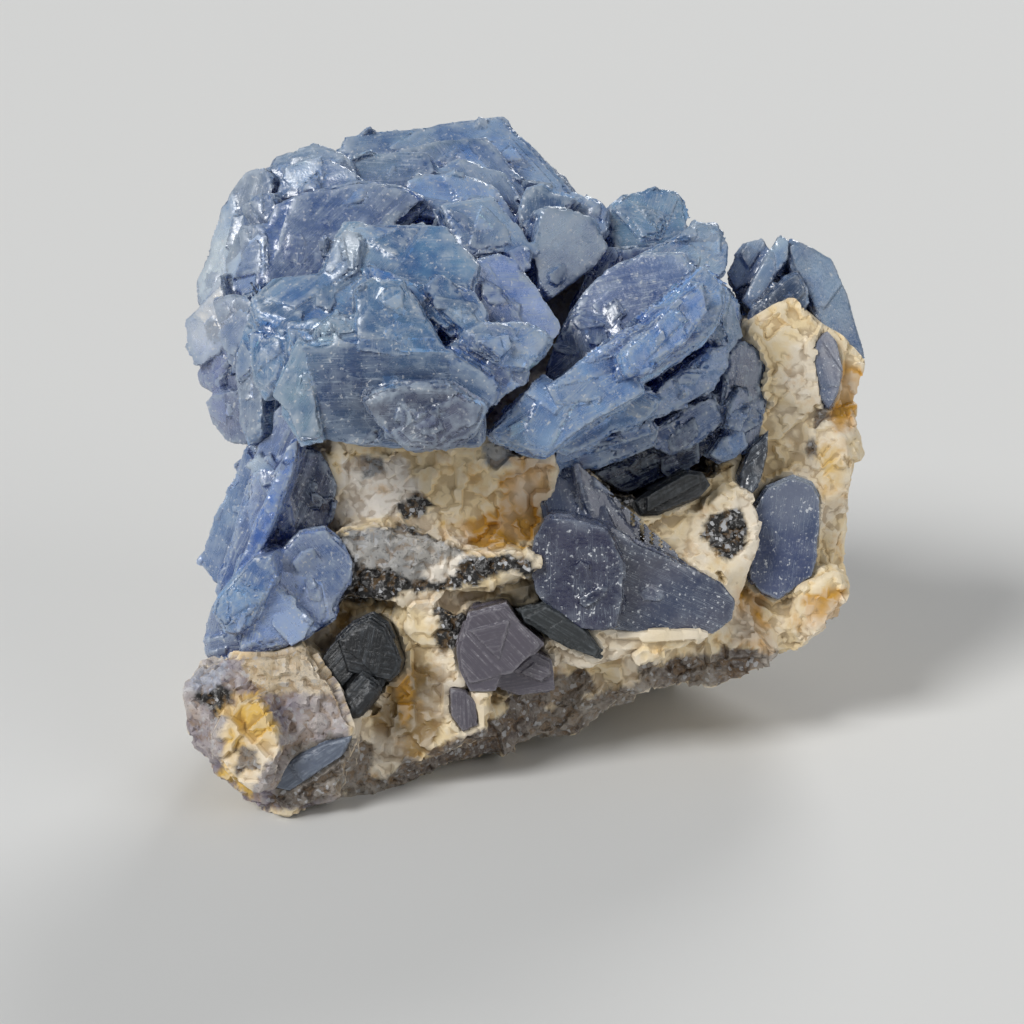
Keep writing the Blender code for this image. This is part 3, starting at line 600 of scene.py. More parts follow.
def add(tree, kind, links, out=0, **settings):
    """Adds a node and returns one of its outputs. Links hold numbers, colours or the outputs of other nodes."""
    made = tree.nodes.new("ShaderNode" + kind)
    for name, value in settings.items():
        setattr(made, name, value)
    for socket, value in links.items():
        if isinstance(value, bpy.types.NodeSocket):
            tree.links.new(value, made.inputs[socket])
        elif made.inputs[socket].type == "RGBA":
            made.inputs[socket].default_value = (*value, 1.0)
        else:
            made.inputs[socket].default_value = value
    return made.outputs[out] if len(made.outputs) else None


def new_material(name):
    """An empty material and its node tree."""
    material = bpy.data.materials.new(name)
    material.use_nodes = True
    material.node_tree.nodes.clear()
    return material, material.node_tree


# %% [markdown]
# ** Sapphire** is aluminium oxide, blue from traces of iron and titanium. It bends light strongly, with an index
# of 1.77, so its faces gleam. These crystals are cloudy: hair-fine needles and healed cracks scatter the light,
# so only part of it passes, and that part comes back bluer the further it has gone. The material is
# partly see-through, with absorption in the volume, and otherwise milky. Subsurface scattering would be the other
# way to get the milkiness, but it's slow and blurs the thin lines. Over it lie white growth lines along the face
# and at 60 degrees to it, a net of healed cracks, small white flecks that are partly pits and partly painted
# glints, and worn edges that look frosted. Painted shade turns the colour dark blue where a point sees little of
# the sky, and painted light lays the milky layer only where it sees much, so open faces come out paler.

# %% Sapphire
SAPPHIRE_IOR = 1.77
LINE_WAYS = ((0.0, (0.03, 1.1), 0.014), (60.0, (0.04, 0.8), 0.010), (-60.0, (0.05, 0.7), 0.008))


def sapphire(name, milky, absorb, absorb_density, pale, cavity_blue, roughness, lined):
    """Blue sapphire: milky is how cloudy it is, and lined is how strong the white lines are, both from 0 to 1."""
    material, tree = new_material(name)
    grain = add(tree, "Attribute", {}, "Vector", attribute_name="grain")
    tone = add(tree, "Attribute", {}, "Color", attribute_name="tone")
    ridge = add(tree, "Attribute", {}, "Fac", attribute_name="ridge")
    sky = add(tree, "Attribute", {}, "Fac", attribute_name="open")
    place = add(tree, "TexCoord", {}, "Object")
    cloud = add(tree, "TexNoise", {"Vector": place, "Scale": 420.0, "Detail": 4.0, "Roughness": 0.7})
    zone = add(tree, "TexNoise", {"Vector": place, "Scale": 150.0, "Detail": 3.0, "Roughness": 0.6})
    fine = add(tree, "TexNoise", {"Vector": place, "Scale": 2100.0, "Detail": 1.0})
    patchy = add(tree, "MapRange", {"Value": cloud, 1: 0.42, 2: 0.56, 3: 0.12, 4: 1.0})
    # thin lines lie where a noise that is stretched along the face passes its middle value
    white = 0.0
    for degrees, scale, width in LINE_WAYS:
        turned = add(tree, "Mapping", {"Vector": grain, "Rotation": (0.0, 0.0, math.radians(degrees)),
                                       "Scale": (*scale, 1.0)})
        wave = add(tree, "TexNoise", {"Vector": turned, "Scale": 1.0, "Detail": 2.0, "Roughness": 0.6})
        from_middle = add(tree, "Math", {0: add(tree, "Math", {0: wave, 1: 0.5}, operation="SUBTRACT")},
                          operation="ABSOLUTE")
        line = add(tree, "MapRange", {"Value": from_middle, 1: 0.0, 2: width, 3: 1.0, 4: 0.0})
        white = add(tree, "Math", {0: white, 1: line}, operation="MAXIMUM")
    healed = add(tree, "TexVoronoi", {"Vector": place, "Scale": 380.0}, 0, feature="DISTANCE_TO_EDGE")
    cracks = add(tree, "MapRange", {"Value": healed, 1: 0.0, 2: 0.02, 3: 0.6, 4: 0.0})
    marks = add(tree, "Math", {0: white, 1: cracks}, operation="MAXIMUM")
    drawn = add(tree, "Math", {0: add(tree, "Math", {0: marks, 1: patchy}, operation="MULTIPLY"), 1: lined},
                operation="MULTIPLY")
    milk = add(tree, "MapRange", {"Value": cloud, 1: 0.42, 2: 0.80, 3: 0.0, 4: 0.55 * lined})
    # small white flecks: partly white pits in the crystal, partly painted glints
    flecks = add(tree, "MapRange", {"Value": fine, 1: 0.64, 2: 0.70, 3: 0.0, 4: 0.85})
    pits_and_painted_glints = add(tree, "Math", {0: flecks, 1: patchy}, operation="MULTIPLY")
    crest = add(tree, "MapRange", {"Value": ridge, 1: 0.12, 2: 0.80, 3: 0.0, 4: 0.9 * lined})
    rubbed = add(tree, "MapRange", {"Value": cloud, 1: 0.30, 2: 0.66, 3: 0.1, 4: 1.0})
    worn = add(tree, "Math", {0: crest, 1: rubbed}, operation="MULTIPLY")
    open_share = add(tree, "MapRange", {"Value": sky, 1: 0.35, 2: 0.95, 3: 0.0, 4: 1.0})
    # painted light: the milky layer is laid only where a point sees much of the sky, so open faces come out
    # paler; the white lines are real marks
    lines_and_painted_light = add(tree, "Math", {0: drawn, 1: add(tree, "Math", {0: milk, 1: open_share}, operation="MULTIPLY")},
               operation="MAXIMUM")
    # painted shade: the colour turns dark blue where a point sees little of the sky, in hollows and between
    # crystals
    painted_cavity_shade = add(tree, "Mix", {0: open_share, 6: cavity_blue, 7: (1.0, 1.0, 1.0)}, **MIXED)
    deeper = add(tree, "MapRange", {"Value": zone, 1: 0.36, 2: 0.62, 3: 0.0, 4: 1.0})
    banded = add(tree, "Mix", {0: deeper, 6: (0.42, 0.58, 0.82), 7: (1.32, 1.28, 1.20)}, **MIXED)
    body = add(tree, "Mix", {0: 1.0, 6: tone, 7: painted_cavity_shade}, **MIXED, blend_type="MULTIPLY")
    zoned = add(tree, "Mix", {0: 1.0, 6: body, 7: banded}, **MIXED, blend_type="MULTIPLY")
    veiled = add(tree, "Mix", {0: lines_and_painted_light, 6: zoned, 7: pale}, **MIXED)
    crested = add(tree, "Mix", {0: worn, 6: veiled, 7: pale}, **MIXED)
    colour = add(tree, "Mix", {0: pits_and_painted_glints, 6: crested, 7: linear("#F2F6FB")}, **MIXED)
    frost = add(tree, "Math", {0: lines_and_painted_light, 1: worn}, operation="MAXIMUM")
    rough = add(tree, "MapRange", {"Value": frost, 3: roughness, 4: roughness + 0.30})
    uneven = add(tree, "Math", {0: fine, 1: cloud}, operation="ADD")
    bump = add(tree, "Bump", {"Height": uneven, "Strength": 0.35, "Distance": 0.12 * MM})
    shader = add(tree, "BsdfPrincipled", {
        "Base Color": colour, "Roughness": rough, "IOR": SAPPHIRE_IOR, "Normal": bump,
        "Transmission Weight": 1.0 - milky})
    volume = add(tree, "VolumeAbsorption", {"Color": absorb, "Density": absorb_density})
    add(tree, "OutputMaterial", {"Surface": shader, "Volume": volume})
    return material


PALE_ICE = linear("#C9D9EA")
PALE_GREY = linear("#B4BFCC")
ROSE_SPOTS = named_spots({
    "left_wall": (215, 250, 30, "#C0CCDA"),
    "left_wall_top": (240, 190, 24, "#B9C6D6"),
    "left_flake": (208, 325, 24, "#CDD6E6"),
    "top_left_band": (310, 165, 30, "#B4CBE2"),
    "top_right_band": (390, 168, 28, "#9ABADC"),
    "crown": (430, 128, 40, "#63809F"),
    "crown_edge": (545, 165, 22, "#55708F"),
    "pale_band": (470, 165, 32, "#A9C4E2"),
    "arch": (440, 188, 22, "#93B4DA"),
    "hollow_left": (305, 235, 34, "#45639A"),
    "hollow_floor": (395, 212, 24, "#3A5488"),
    "hollow_top": (330, 195, 26, "#6F92C0"),
    "striped": (500, 222, 20, "#A6C4E8"),
    "striped_low": (462, 245, 16, "#35508A"),
    "peak": (400, 250, 34, "#6FA0CC"),
    "peak_ridge": (345, 240, 20, "#D2E2F2"),
    "peak_right": (455, 245, 18, "#A6C6E6"),
    "peak_low": (420, 290, 26, "#5E8FC0"),
    "violet": (515, 290, 28, "#93A9DA"),
    "lobe": (515, 350, 22, "#98BAE6"),
    "lobe_low": (505, 378, 16, "#4470B8"),
    "rhomb": (570, 240, 26, "#A2BEDF"),
    "drum_top": (320, 300, 30, "#7AA0C8"),
    "drum_face": (385, 360, 28, "#5A84B4"),
    "drum_ledge": (338, 334, 14, "#B2CCE0"),
    "brow": (430, 335, 20, "#6BA0D2"),
    "drum_low": (350, 415, 32, "#4A5672"),
    "drum_lens": (430, 420, 28, "#67687E"),
    "flank": (270, 350, 22, "#7DAEE0"),
    "flank_pale": (300, 405, 18, "#A6C6DA"),
    "flank_white": (245, 390, 18, "#CAD6E6"),
    "low_violet": (215, 380, 22, "#8F9BC8"),
    "low_grey": (228, 420, 18, "#ABB2D0"),
})
FAN_SPOTS = named_spots({
    "far_top": (645, 218, 30, "#7FA5C4"),
    "second": (705, 245, 24, "#B0CCE6"),
    "broad": (615, 300, 34, "#7E90BA"),
    "main": (680, 320, 34, "#8AB6F0"),
    "main_low": (610, 375, 28, "#8CB4EC"),
    "front": (530, 420, 30, "#A0C2EC"),
    "front_under": (615, 415, 26, "#7098CC"),
    "edge_right": (730, 320, 22, "#93AECC"),
    "navy": (755, 385, 20, "#3C5078"),
    "dark_under": (650, 460, 30, "#3E4E70"),
    "navy_under": (700, 420, 22, "#4A6494"),
})
SIDE_SPOTS = named_spots({
    "outer": (225, 510, 20, "#A4C0E4"),
    "pale": (262, 480, 18, "#BCCCEC"),
    "bright": (275, 500, 14, "#5F90E0"),
    "navy": (320, 490, 18, "#26345E"),
    "teal_tip": (240, 595, 20, "#7CA8DC"),
    "shell": (320, 580, 22, "#A8B8DA"),
    "shell_low": (280, 620, 22, "#94ACD8"),
    "foot": (215, 640, 18, "#B4C2DE"),
})
CORNER_SPOTS = named_spots({
    "short": (745, 260, 16, "#B0C4DA"),
    "long": (775, 260, 16, "#A8C0D8"),
    "dark": (780, 305, 18, "#4C5A70"),
    "curved": (825, 290, 26, "#7F9CBE"),
    "curved_edge": (797, 262, 12, "#40526E"),
})
# the dark blue of the painted shade in the hollows of the crystals
CAVITY_SHADE_BLUE = (0.12, 0.18, 0.36)
ROSE_SAPPHIRE = sapphire("sapphire_cloudy_blue", 0.60, (0.20, 0.42, 0.84), 160.0, PALE_ICE, CAVITY_SHADE_BLUE, 0.25, 0.9)
FAN_SAPPHIRE = sapphire("sapphire_bright_blue", 0.60, (0.22, 0.46, 0.90), 150.0, PALE_ICE, CAVITY_SHADE_BLUE, 0.24, 0.9)
SIDE_SAPPHIRE = sapphire("sapphire_lavender_blue", 0.62, (0.28, 0.44, 0.88), 160.0, PALE_ICE, CAVITY_SHADE_BLUE, 0.25, 0.85)
CORNER_SAPPHIRE = sapphire("sapphire_grey_blue", 0.62, (0.28, 0.40, 0.68), 180.0, PALE_GREY, CAVITY_SHADE_BLUE, 0.24, 0.7)

# %% [markdown]
# Each blue group is a copy of its solid with layers grown on it. The larger the group, the more of its faces
# are big enough to carry terraces.

# %% Grow the blue crystals
def make_crystal(name, node, spots, base, material, layers, skin, worked, jitter, seed):
    """One crystal group. layers are the least face in mm2, the most terraces, the depth of the ledges in mm and
    the share of shards. skin is the voxel in mm and the most triangles. worked is the height of the steps and the
    depth of the chips in mm. jitter is how much the faces' tones differ."""
    voxel_mm, most = skin
    mesh = mesh_of_solid(node)
    bmesh.ops.triangulate(mesh, faces=mesh.faces[:])
    thing = put_in_scene(name, finished(mesh, name))
    grow_layers(thing, node, *layers, seed)
    dress_crystal(thing, voxel_mm * MM, most, *worked, spots, linear(base), jitter, seed)
    thing.data.materials.clear()
    thing.data.materials.append(material)
    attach(thing, "root")
    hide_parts(node)
    thing.data.calc_loop_triangles()
    print(f"{name}: {len(thing.data.loop_triangles)} triangles")


WORKED = (0.06, 0.5)
DEEPLY_WORKED = (0.09, 0.5)
QUIET = (0.045, 0.22)
BLUE_GROUPS = (
    ("rose_grown", "rose_crystals", ROSE_SPOTS, "#7397C4", ROSE_SAPPHIRE,
     (4.0, 4, 4.0, 0.35), (0.30, MOST_TRIANGLES), WORKED, 0.32, 11),
    ("fan_grown", "fan_crystals", FAN_SPOTS, "#7B9FD2", FAN_SAPPHIRE,
     (4.0, 4, 4.0, 0.45), (0.28, 180000), (0.09, 0.6), 0.28, 12),
    ("side_blades_grown", "side_blades", SIDE_SPOTS, "#8BA3D4", SIDE_SAPPHIRE,
     (4.0, 3, 3.0, 0.6), (0.28, 90000), DEEPLY_WORKED, 0.26, 13),
    ("corner_blades_grown", "corner_blades", CORNER_SPOTS, "#9FB3CC", CORNER_SAPPHIRE,
     (3.0, 2, 1.6, 0.2), (0.26, 36000), WORKED, 0.2, 14),
    ("corner_plate_grown", "corner_plate", CORNER_SPOTS, "#93A7C0", CORNER_SAPPHIRE,
     (4.0, 1, 1.2, 0.0), (0.26, 36000), QUIET, 0.12, 15),
)
for group in BLUE_GROUPS:
    make_crystal(*group)

# %% [markdown]
# Some crystals sit in the rock itself. The large wedge, the slab and two laths are sapphire so full of rock dust
# that little light passes. They were held by the rock while they grew, so they have few layers. They get the
# same material, milkier and greyer, and no shards, which would break up their plain outlines.

# %% Crystals set in the rock
GREY_SPOTS = named_spots({
    "wedge_pale": (575, 490, 26, "#A2A8BC"),
    "wedge_dark": (580, 575, 30, "#2A2C4C"),
    "wedge_right": (685, 605, 26, "#6A7088"),
    "wedge_black": (645, 560, 14, "#1E1F2E"),
    "slab_top": (790, 496, 24, "#A2ACBA"),
    "slab_low": (785, 565, 24, "#4A5680"),
    "lath": (830, 365, 14, "#8E90A0"),
    "low_lath": (752, 465, 14, "#3C4048"),
})
SET_VOXEL_MM = 0.26
DIM_SAPPHIRE = sapphire("sapphire_indigo_dusty", 0.75, (0.22, 0.24, 0.42), 240.0, PALE_GREY, CAVITY_SHADE_BLUE, 0.22, 0.4)


def set_crystals(rows):
    """The crystals that are set in the rock, which share their spots of colour and the fineness of their skin."""
    for name, node, base, material, layers, most, worked, jitter, seed in rows:
        make_crystal(name, node, GREY_SPOTS, base, material, layers, (SET_VOXEL_MM, most), worked, jitter, seed)


set_crystals((
    ("wedge_grown", "wedge_crystal", "#3A3D56", DIM_SAPPHIRE, (5.0, 2, 1.0, 0.15), 60000, QUIET, 0.12, 21),
    ("slab_grown", "slab_crystal", "#566074", DIM_SAPPHIRE, (6.0, 2, 0.8, 0.0), 30000, QUIET, 0.08, 22),
    ("lath_grown", "grey_lath", "#8E90A0", DIM_SAPPHIRE, (3.0, 2, 0.8, 0.0), 14000, QUIET, 0.1, 23),
    ("low_lath_grown", "low_lath", "#3C4048", DIM_SAPPHIRE, (3.0, 2, 0.8, 0.0), 12000, QUIET, 0.1, 24),
))

# %% [markdown]
# The black prism, the two black tablets, the slate-grey rod and the lumps of smoky quartz are other minerals.
# Tourmaline grows with fine lines along it, mica splits into flat sheets, and quartz breaks like glass. All three
# show as a dark body with paler lines and dust, so one material with other colours, roughness and index of
# refraction serves for each. A texture of its own for each would look the same at this size.

# %% Tourmaline, smoky quartz and slate-grey crystals
def dark_mineral(name, dark, light, roughness, ior, see_through=0.0):
    """A dark crystal with lines along it: tourmaline, hornblende or quartz with smoke in it."""
    material, tree = new_material(name)
    grain = add(tree, "Attribute", {}, "Vector", attribute_name="grain")
    ridge = add(tree, "Attribute", {}, "Fac", attribute_name="ridge")
    place = add(tree, "TexCoord", {}, "Object")
    stretched = add(tree, "Mapping", {"Vector": grain, "Scale": (0.10, 2.6, 2.6)})
    stripe = add(tree, "TexNoise", {"Vector": stretched, "Scale": 1.0, "Detail": 4.0, "Roughness": 0.7})
    speck = add(tree, "TexNoise", {"Vector": place, "Scale": 900.0, "Detail": 4.0, "Roughness": 0.7})
    lines = add(tree, "MapRange", {"Value": stripe, 1: 0.48, 2: 0.72, 3: 0.0, 4: 0.7})
    dust = add(tree, "MapRange", {"Value": speck, 1: 0.42, 2: 0.62, 3: 0.1, 4: 1.0})
    pale = add(tree, "Math", {0: lines, 1: dust}, operation="MULTIPLY")
    crest = add(tree, "MapRange", {"Value": ridge, 1: 0.3, 2: 1.0, 3: 0.0, 4: 0.35})
    mask = add(tree, "Math", {0: pale, 1: crest}, operation="MAXIMUM")
    colour = add(tree, "Mix", {0: mask, 6: linear(dark), 7: linear(light)}, **MIXED)
    rough = add(tree, "MapRange", {"Value": mask, 3: roughness, 4: roughness + 0.3})
    relief = add(tree, "Math", {0: stripe, 1: speck}, operation="ADD")
    bump = add(tree, "Bump", {"Height": relief, "Strength": 0.5, "Distance": 0.3 * MM})
    shader = add(tree, "BsdfPrincipled", {"Base Color": colour, "Roughness": rough, "IOR": ior, "Normal": bump,
                                          "Transmission Weight": see_through})
    add(tree, "OutputMaterial", {"Surface": shader})
    return material


TOURMALINE = dark_mineral("tourmaline_black_striated", "#101214", "#5E6468", 0.28, 1.64)
TABLET = dark_mineral("biotite_black_cleaved", "#131518", "#565D64", 0.34, 1.6)
SLATE_GREY = dark_mineral("slate_grey_mineral", "#2C3032", "#767C80", 0.4, 1.55)
SMOKY_QUARTZ = dark_mineral("quartz_smoky_glassy", "#6C6772", "#C9C6CC", 0.16, 1.54, 0.3)
BLUE_GREY = dark_mineral("sapphire_blue_grey_dull", "#5C6678", "#A9B4C2", 0.3, 1.77)
ONE_TONE = "#444444"
PLAIN = (0.8, 0.0)
set_crystals((
    ("black_prism_grown", "black_prism", ONE_TONE, TOURMALINE, (4.0, 2, *PLAIN), 18000, (0.05, 0.12), 0.1, 31),
    ("tablet_large_grown", "dark_tablet_large", ONE_TONE, TABLET, (5.0, 2, *PLAIN), 26000, QUIET, 0.1, 32),
    ("tablet_small_grown", "dark_tablet_small", ONE_TONE, TABLET, (4.0, 2, *PLAIN), 12000, QUIET, 0.1, 33),
    ("slate_rod_grown", "slate_rod", ONE_TONE, SLATE_GREY, (3.0, 2, *PLAIN), 14000, QUIET, 0.1, 34),
    ("quartz_grown", "quartz_lump", ONE_TONE, SMOKY_QUARTZ, (5.0, 2, *PLAIN), 30000, QUIET, 0.1, 35),
    ("smoky_slab_grown", "smoky_slab", ONE_TONE, SMOKY_QUARTZ, (3.0, 1, *PLAIN), 10000, QUIET, 0.1, 36),
    ("grey_slab_grown", "grey_slab", ONE_TONE, BLUE_GREY, (3.0, 2, *PLAIN), 14000, QUIET, 0.1, 37),
))

# %% [markdown]
# The rock isn't one mineral. Cream feldspar carries ochre stains, a band of black mica runs across it, and its
# base is grey-brown. These zones could be painted, but then they would end where the paint does. Instead each is
# an outline on the sheet with a tone, its border is made ragged by noise, and faces that look away from the eye
# get the same tones by noise alone.

# %% Zones of the rock
ZONES = {
    "band": ("mica", [(335, 528), (352, 535), (395, 521), (412, 520), (445, 542), (480, 552), (532, 556),
                      (540, 575), (500, 582), (450, 594), (405, 606), (335, 606)]),
    "band_grey": ("grey", [(345, 530), (400, 524), (440, 542), (470, 556), (430, 578), (385, 572), (350, 560)]),
    "cream_patch": ("cream", [(312, 430), (560, 430), (552, 480), (542, 535), (520, 547), (480, 551), (425, 528),
                              (400, 520), (365, 527), (335, 528)]),
    "cream_white": ("white", [(345, 462), (405, 458), (420, 500), (380, 520), (345, 515)]),
    "yellow_low": ("ochre_pale", [(440, 520), (520, 515), (520, 548), (470, 551), (440, 536)]),
    "grey_spot": ("grey", [(362, 458), (382, 456), (386, 472), (366, 474)]),
    "grey_spot_low": ("mica", [(398, 504), (416, 498), (432, 506), (428, 522), (402, 520)]),
    "pebble": ("grey", [(482, 446), (498, 440), (514, 446), (512, 466), (496, 472), (484, 464)]),
    "lozenge": ("white", [(424, 574), (442, 556), (462, 556), (446, 580)]),
    "ochre_patch": ("ochre", [(512, 458), (530, 452), (552, 465), (545, 540), (460, 550), (455, 525),
                              (495, 515)]),
    "vein": ("cream", [(345, 607), (480, 585), (512, 572), (542, 600), (520, 606), (470, 604), (380, 640),
                       (440, 610)]),
    "nodule": ("cream", [(392, 618), (432, 612), (438, 650), (420, 668), (396, 660)]),
    "black_knob": ("mica", [(434, 608), (468, 612), (466, 646), (440, 652)]),
    "olive": ("olive", [(385, 668), (440, 664), (446, 690), (440, 738), (420, 768), (368, 764), (378, 700)]),
    "orange_streak": ("ochre", [(399, 676), (409, 674), (411, 716), (401, 722)]),
    "yellow_wedge": ("ochre_pale", [(328, 728), (354, 722), (350, 748), (334, 754)]),
    "seam": ("olive", [(345, 612), (360, 606), (322, 664), (300, 668)]),
    "brown_base": ("brown", [(330, 800), (400, 768), (470, 728), (560, 700), (645, 682), (640, 714), (560, 745),
                             (400, 800)]),
    "shelf": ("cream", [(545, 648), (600, 656), (612, 638), (640, 624), (700, 636), (690, 662), (610, 672),
                        (560, 668)]),
    "right_base": ("brown", [(640, 668), (700, 655), (760, 650), (790, 656), (740, 690), (640, 692)]),
    "right_ochre_top": ("ochre", [(828, 360), (864, 370), (862, 432), (832, 436)]),
    "right_ochre_low": ("ochre", [(738, 590), (766, 596), (768, 648), (736, 640)]),
    "right_ochre_mid": ("ochre", [(800, 596), (846, 590), (840, 630), (806, 630)]),
    "triangle_speck": ("mica", [(703, 512), (742, 505), (750, 540), (730, 560), (704, 545)]),
    "recess": ("mica", [(590, 455), (660, 440), (720, 440), (720, 470), (640, 515), (606, 500)]),
    "lump_body": ("violet", [(170, 690), (200, 660), (330, 640), (352, 740), (345, 806), (250, 812), (196, 770)]),
    "lump_hollow": ("mica", [(192, 690), (214, 680), (238, 694), (226, 716), (200, 722)]),
    "lump_crust": ("ochre_pale", [(234, 690), (258, 692), (284, 740), (262, 772), (250, 796), (216, 776),
                                  (212, 744)]),
    "lump_left": ("violet", [(176, 700), (200, 700), (222, 740), (220, 775), (186, 752)]),
    "lump_frost": ("frost", [(172, 694), (192, 670), (228, 662), (222, 684), (194, 694)]),
    "lump_dark": ("brown", [(296, 738), (372, 736), (378, 790), (300, 806), (268, 806)]),
    "lump_blotch": ("brown", [(236, 750), (254, 748), (258, 768), (240, 772)]),
    "right_rib": ("ochre_pale", [(814, 440), (846, 436), (848, 500), (822, 510)]),
    "right_crack": ("brown", [(834, 364), (840, 366), (814, 452), (806, 450)]),
    "olive_vein": ("olive", [(640, 488), (706, 452), (712, 460), (650, 500)]),
    "lump_top": ("speckle", [(236, 655), (330, 640), (330, 690), (262, 694)]),
    "lump_pink": ("violet", [(286, 700), (322, 700), (322, 740), (284, 742)]),
    "dark_middle": ("brown", [(500, 700), (560, 672), (600, 672), (596, 694), (520, 722)]),
}
TONES = {
    "cream": (linear("#F0DAAE"), 0.0),
    "ochre": (linear("#D29C38"), 0.0),
    "white": (linear("#F6EEE2"), 0.05),
    "ochre_pale": (linear("#E4BC62"), 0.0),
    "olive": (linear("#94794A"), 0.12),
    "mica": (linear("#22201F"), 1.0),
    "grey": (linear("#8C8E90"), 0.6),
    "brown": (linear("#5C5048"), 0.7),
    "violet": (linear("#857C88"), 0.55),
    "frost": (linear("#A8ACBA"), 0.4),
    "speckle": (linear("#C2AE8E"), 0.5),
}


def inside_by(where, outline):
    """How far inside an outline each place on the sheet is, negative outside, in sheet units."""
    nearest = np.full(len(where), 1e9)
    inside = np.zeros(len(where), bool)
    for (u0, v0), (u1, v1) in zip(outline, outline[1:] + outline[:1]):
        side = np.array([u1 - u0, v1 - v0])
        to = where - np.array([u0, v0])
        t = np.clip(to @ side / (side @ side), 0.0, 1.0)
        nearest = np.minimum(nearest, np.linalg.norm(to - t[:, None] * side, axis=1))
        crosses = (v0 > where[:, 1]) != (v1 > where[:, 1])
        at = u0 + (where[:, 1] - v0) / (v1 - v0 + 1e-9) * (u1 - u0)
        inside ^= crosses & (where[:, 0] < at)
    return np.where(inside, nearest, -nearest)


def rock_zones(points, normals):
    """Colour and roughness of grain at each point of the rock, from the zones in front and noise elsewhere."""
    where = on_sheet(points)
    ragged = 7.0 * lumps(points, 2.2, 5) + 3.5 * lumps(points, 0.8, 6) + 2.0 * lumps(points, 0.4, 7)
    base, grit = TONES["cream"]
    colour = np.tile(np.array(base), (len(points), 1))
    grits = np.full(len(points), grit)

    def lay(tone, cover):
        nonlocal colour, grits
        tint, gritty = TONES[tone]
        colour = colour * (1.0 - cover[:, None]) + np.array(tint) * cover[:, None]
        grits = grits * (1.0 - cover) + gritty * cover

    def soft(value, width):
        return np.clip(value / width + 0.5, 0.0, 1.0)

    wide, fine = lumps(points, 9.0, 21), lumps(points, 3.0, 22)
    lay("ochre", 0.55 * soft(wide + 0.5 * fine - 0.25, 0.3))
    lay("speckle", soft(lumps(points, 7.0, 23) + 0.6 * fine - 0.35, 0.25))
    lay("brown", soft(lumps(points, 11.0, 24) + 0.5 * lumps(points, 2.5, 25) - 0.5, 0.2))
    lay("mica", soft(lumps(points, 6.0, 26) + 0.7 * lumps(points, 1.6, 27) - 0.95, 0.2))
    facing = soft(normals @ np.array(TOWARDS) - 0.05, 0.3)
    behind = np.array(colour), np.array(grits)
    colour[:] = np.array(base)
    grits[:] = grit
    for tone, outline in ZONES.values():
        lay(tone, soft(inside_by(where, outline) + ragged, 3.0))
    colour = colour * facing[:, None] + behind[0] * (1.0 - facing[:, None])
    grits = grits * facing + behind[1] * (1.0 - facing)
    return colour, grits


# %% [markdown]
# Feldspar splits into flat steps, and mica crumbles into grains. A voxel remesh turns the solid into an even skin
# of small faces, which is then pushed in and out by a mix of `chips` and `lumps` for each zone. A displacement in
# the material would look alike in the render alone, while here the broken surface is real. Close to a crystal the
# rock is pushed up to it, as the two have grown together.

# %% Break up the rock
ROCK_VOXEL = 0.45 * MM
RESTING = 0.3 * MM
CLOSE_GAP = 0.5 * MM
NEAR_CRYSTAL = 1.0 * MM
rock = put_in_scene("rock_broken", finished(mesh_of_solid("matrix_rock"), "rock_broken"))
new_skin(rock, ROCK_VOXEL)
points, normals = points_and_normals(rock.data)
_, grit = rock_zones(points, normals)
crystals = tree_of([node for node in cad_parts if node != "matrix_rock"])
near = np.array([crystals.find_nearest(p, NEAR_CRYSTAL)[0] is not None for p in points.tolist()])
big = chips(points, 6.5, 41)
medium = chips(points, 2.6, 42, (1.0, 1.0, 0.95))
small = chips(points, 1.2, 43)
crumbs = lumps(points, 0.8, 44)
blocky = 0.80 * big + 0.42 * medium + 0.12 * small
gritty = 0.45 * big + 0.45 * medium + 0.34 * small + 0.22 * crumbs
push = (blocky * (1.0 - grit) + gritty * grit - 0.2) * MM
push = np.where(near, CLOSE_GAP, push)
moved = within_box(points + normals * push[:, None])
moved[:, 2] = np.where(points[:, 2] < RESTING, 0.0, moved[:, 2])
rock.data.vertices.foreach_set("co", moved.ravel())
rock.data.update()
thinned(rock, MOST_TRIANGLES)
rock.data.polygons.foreach_set("use_smooth", np.ones(len(rock.data.polygons), bool))
rock.data.set_sharp_from_angle(angle=CREASE)
points, normals = points_and_normals(rock.data)
tone, grit = rock_zones(points, normals)
store(rock.data, "tone", tone)
store(rock.data, "grit", grit)
store(rock.data, "ridge", ridges(rock.data))
store(rock.data, "open", openness(rock.data))
print("rock skin:", len(rock.data.polygons), "triangles,", round(100 * near.mean()), "% touches crystals")
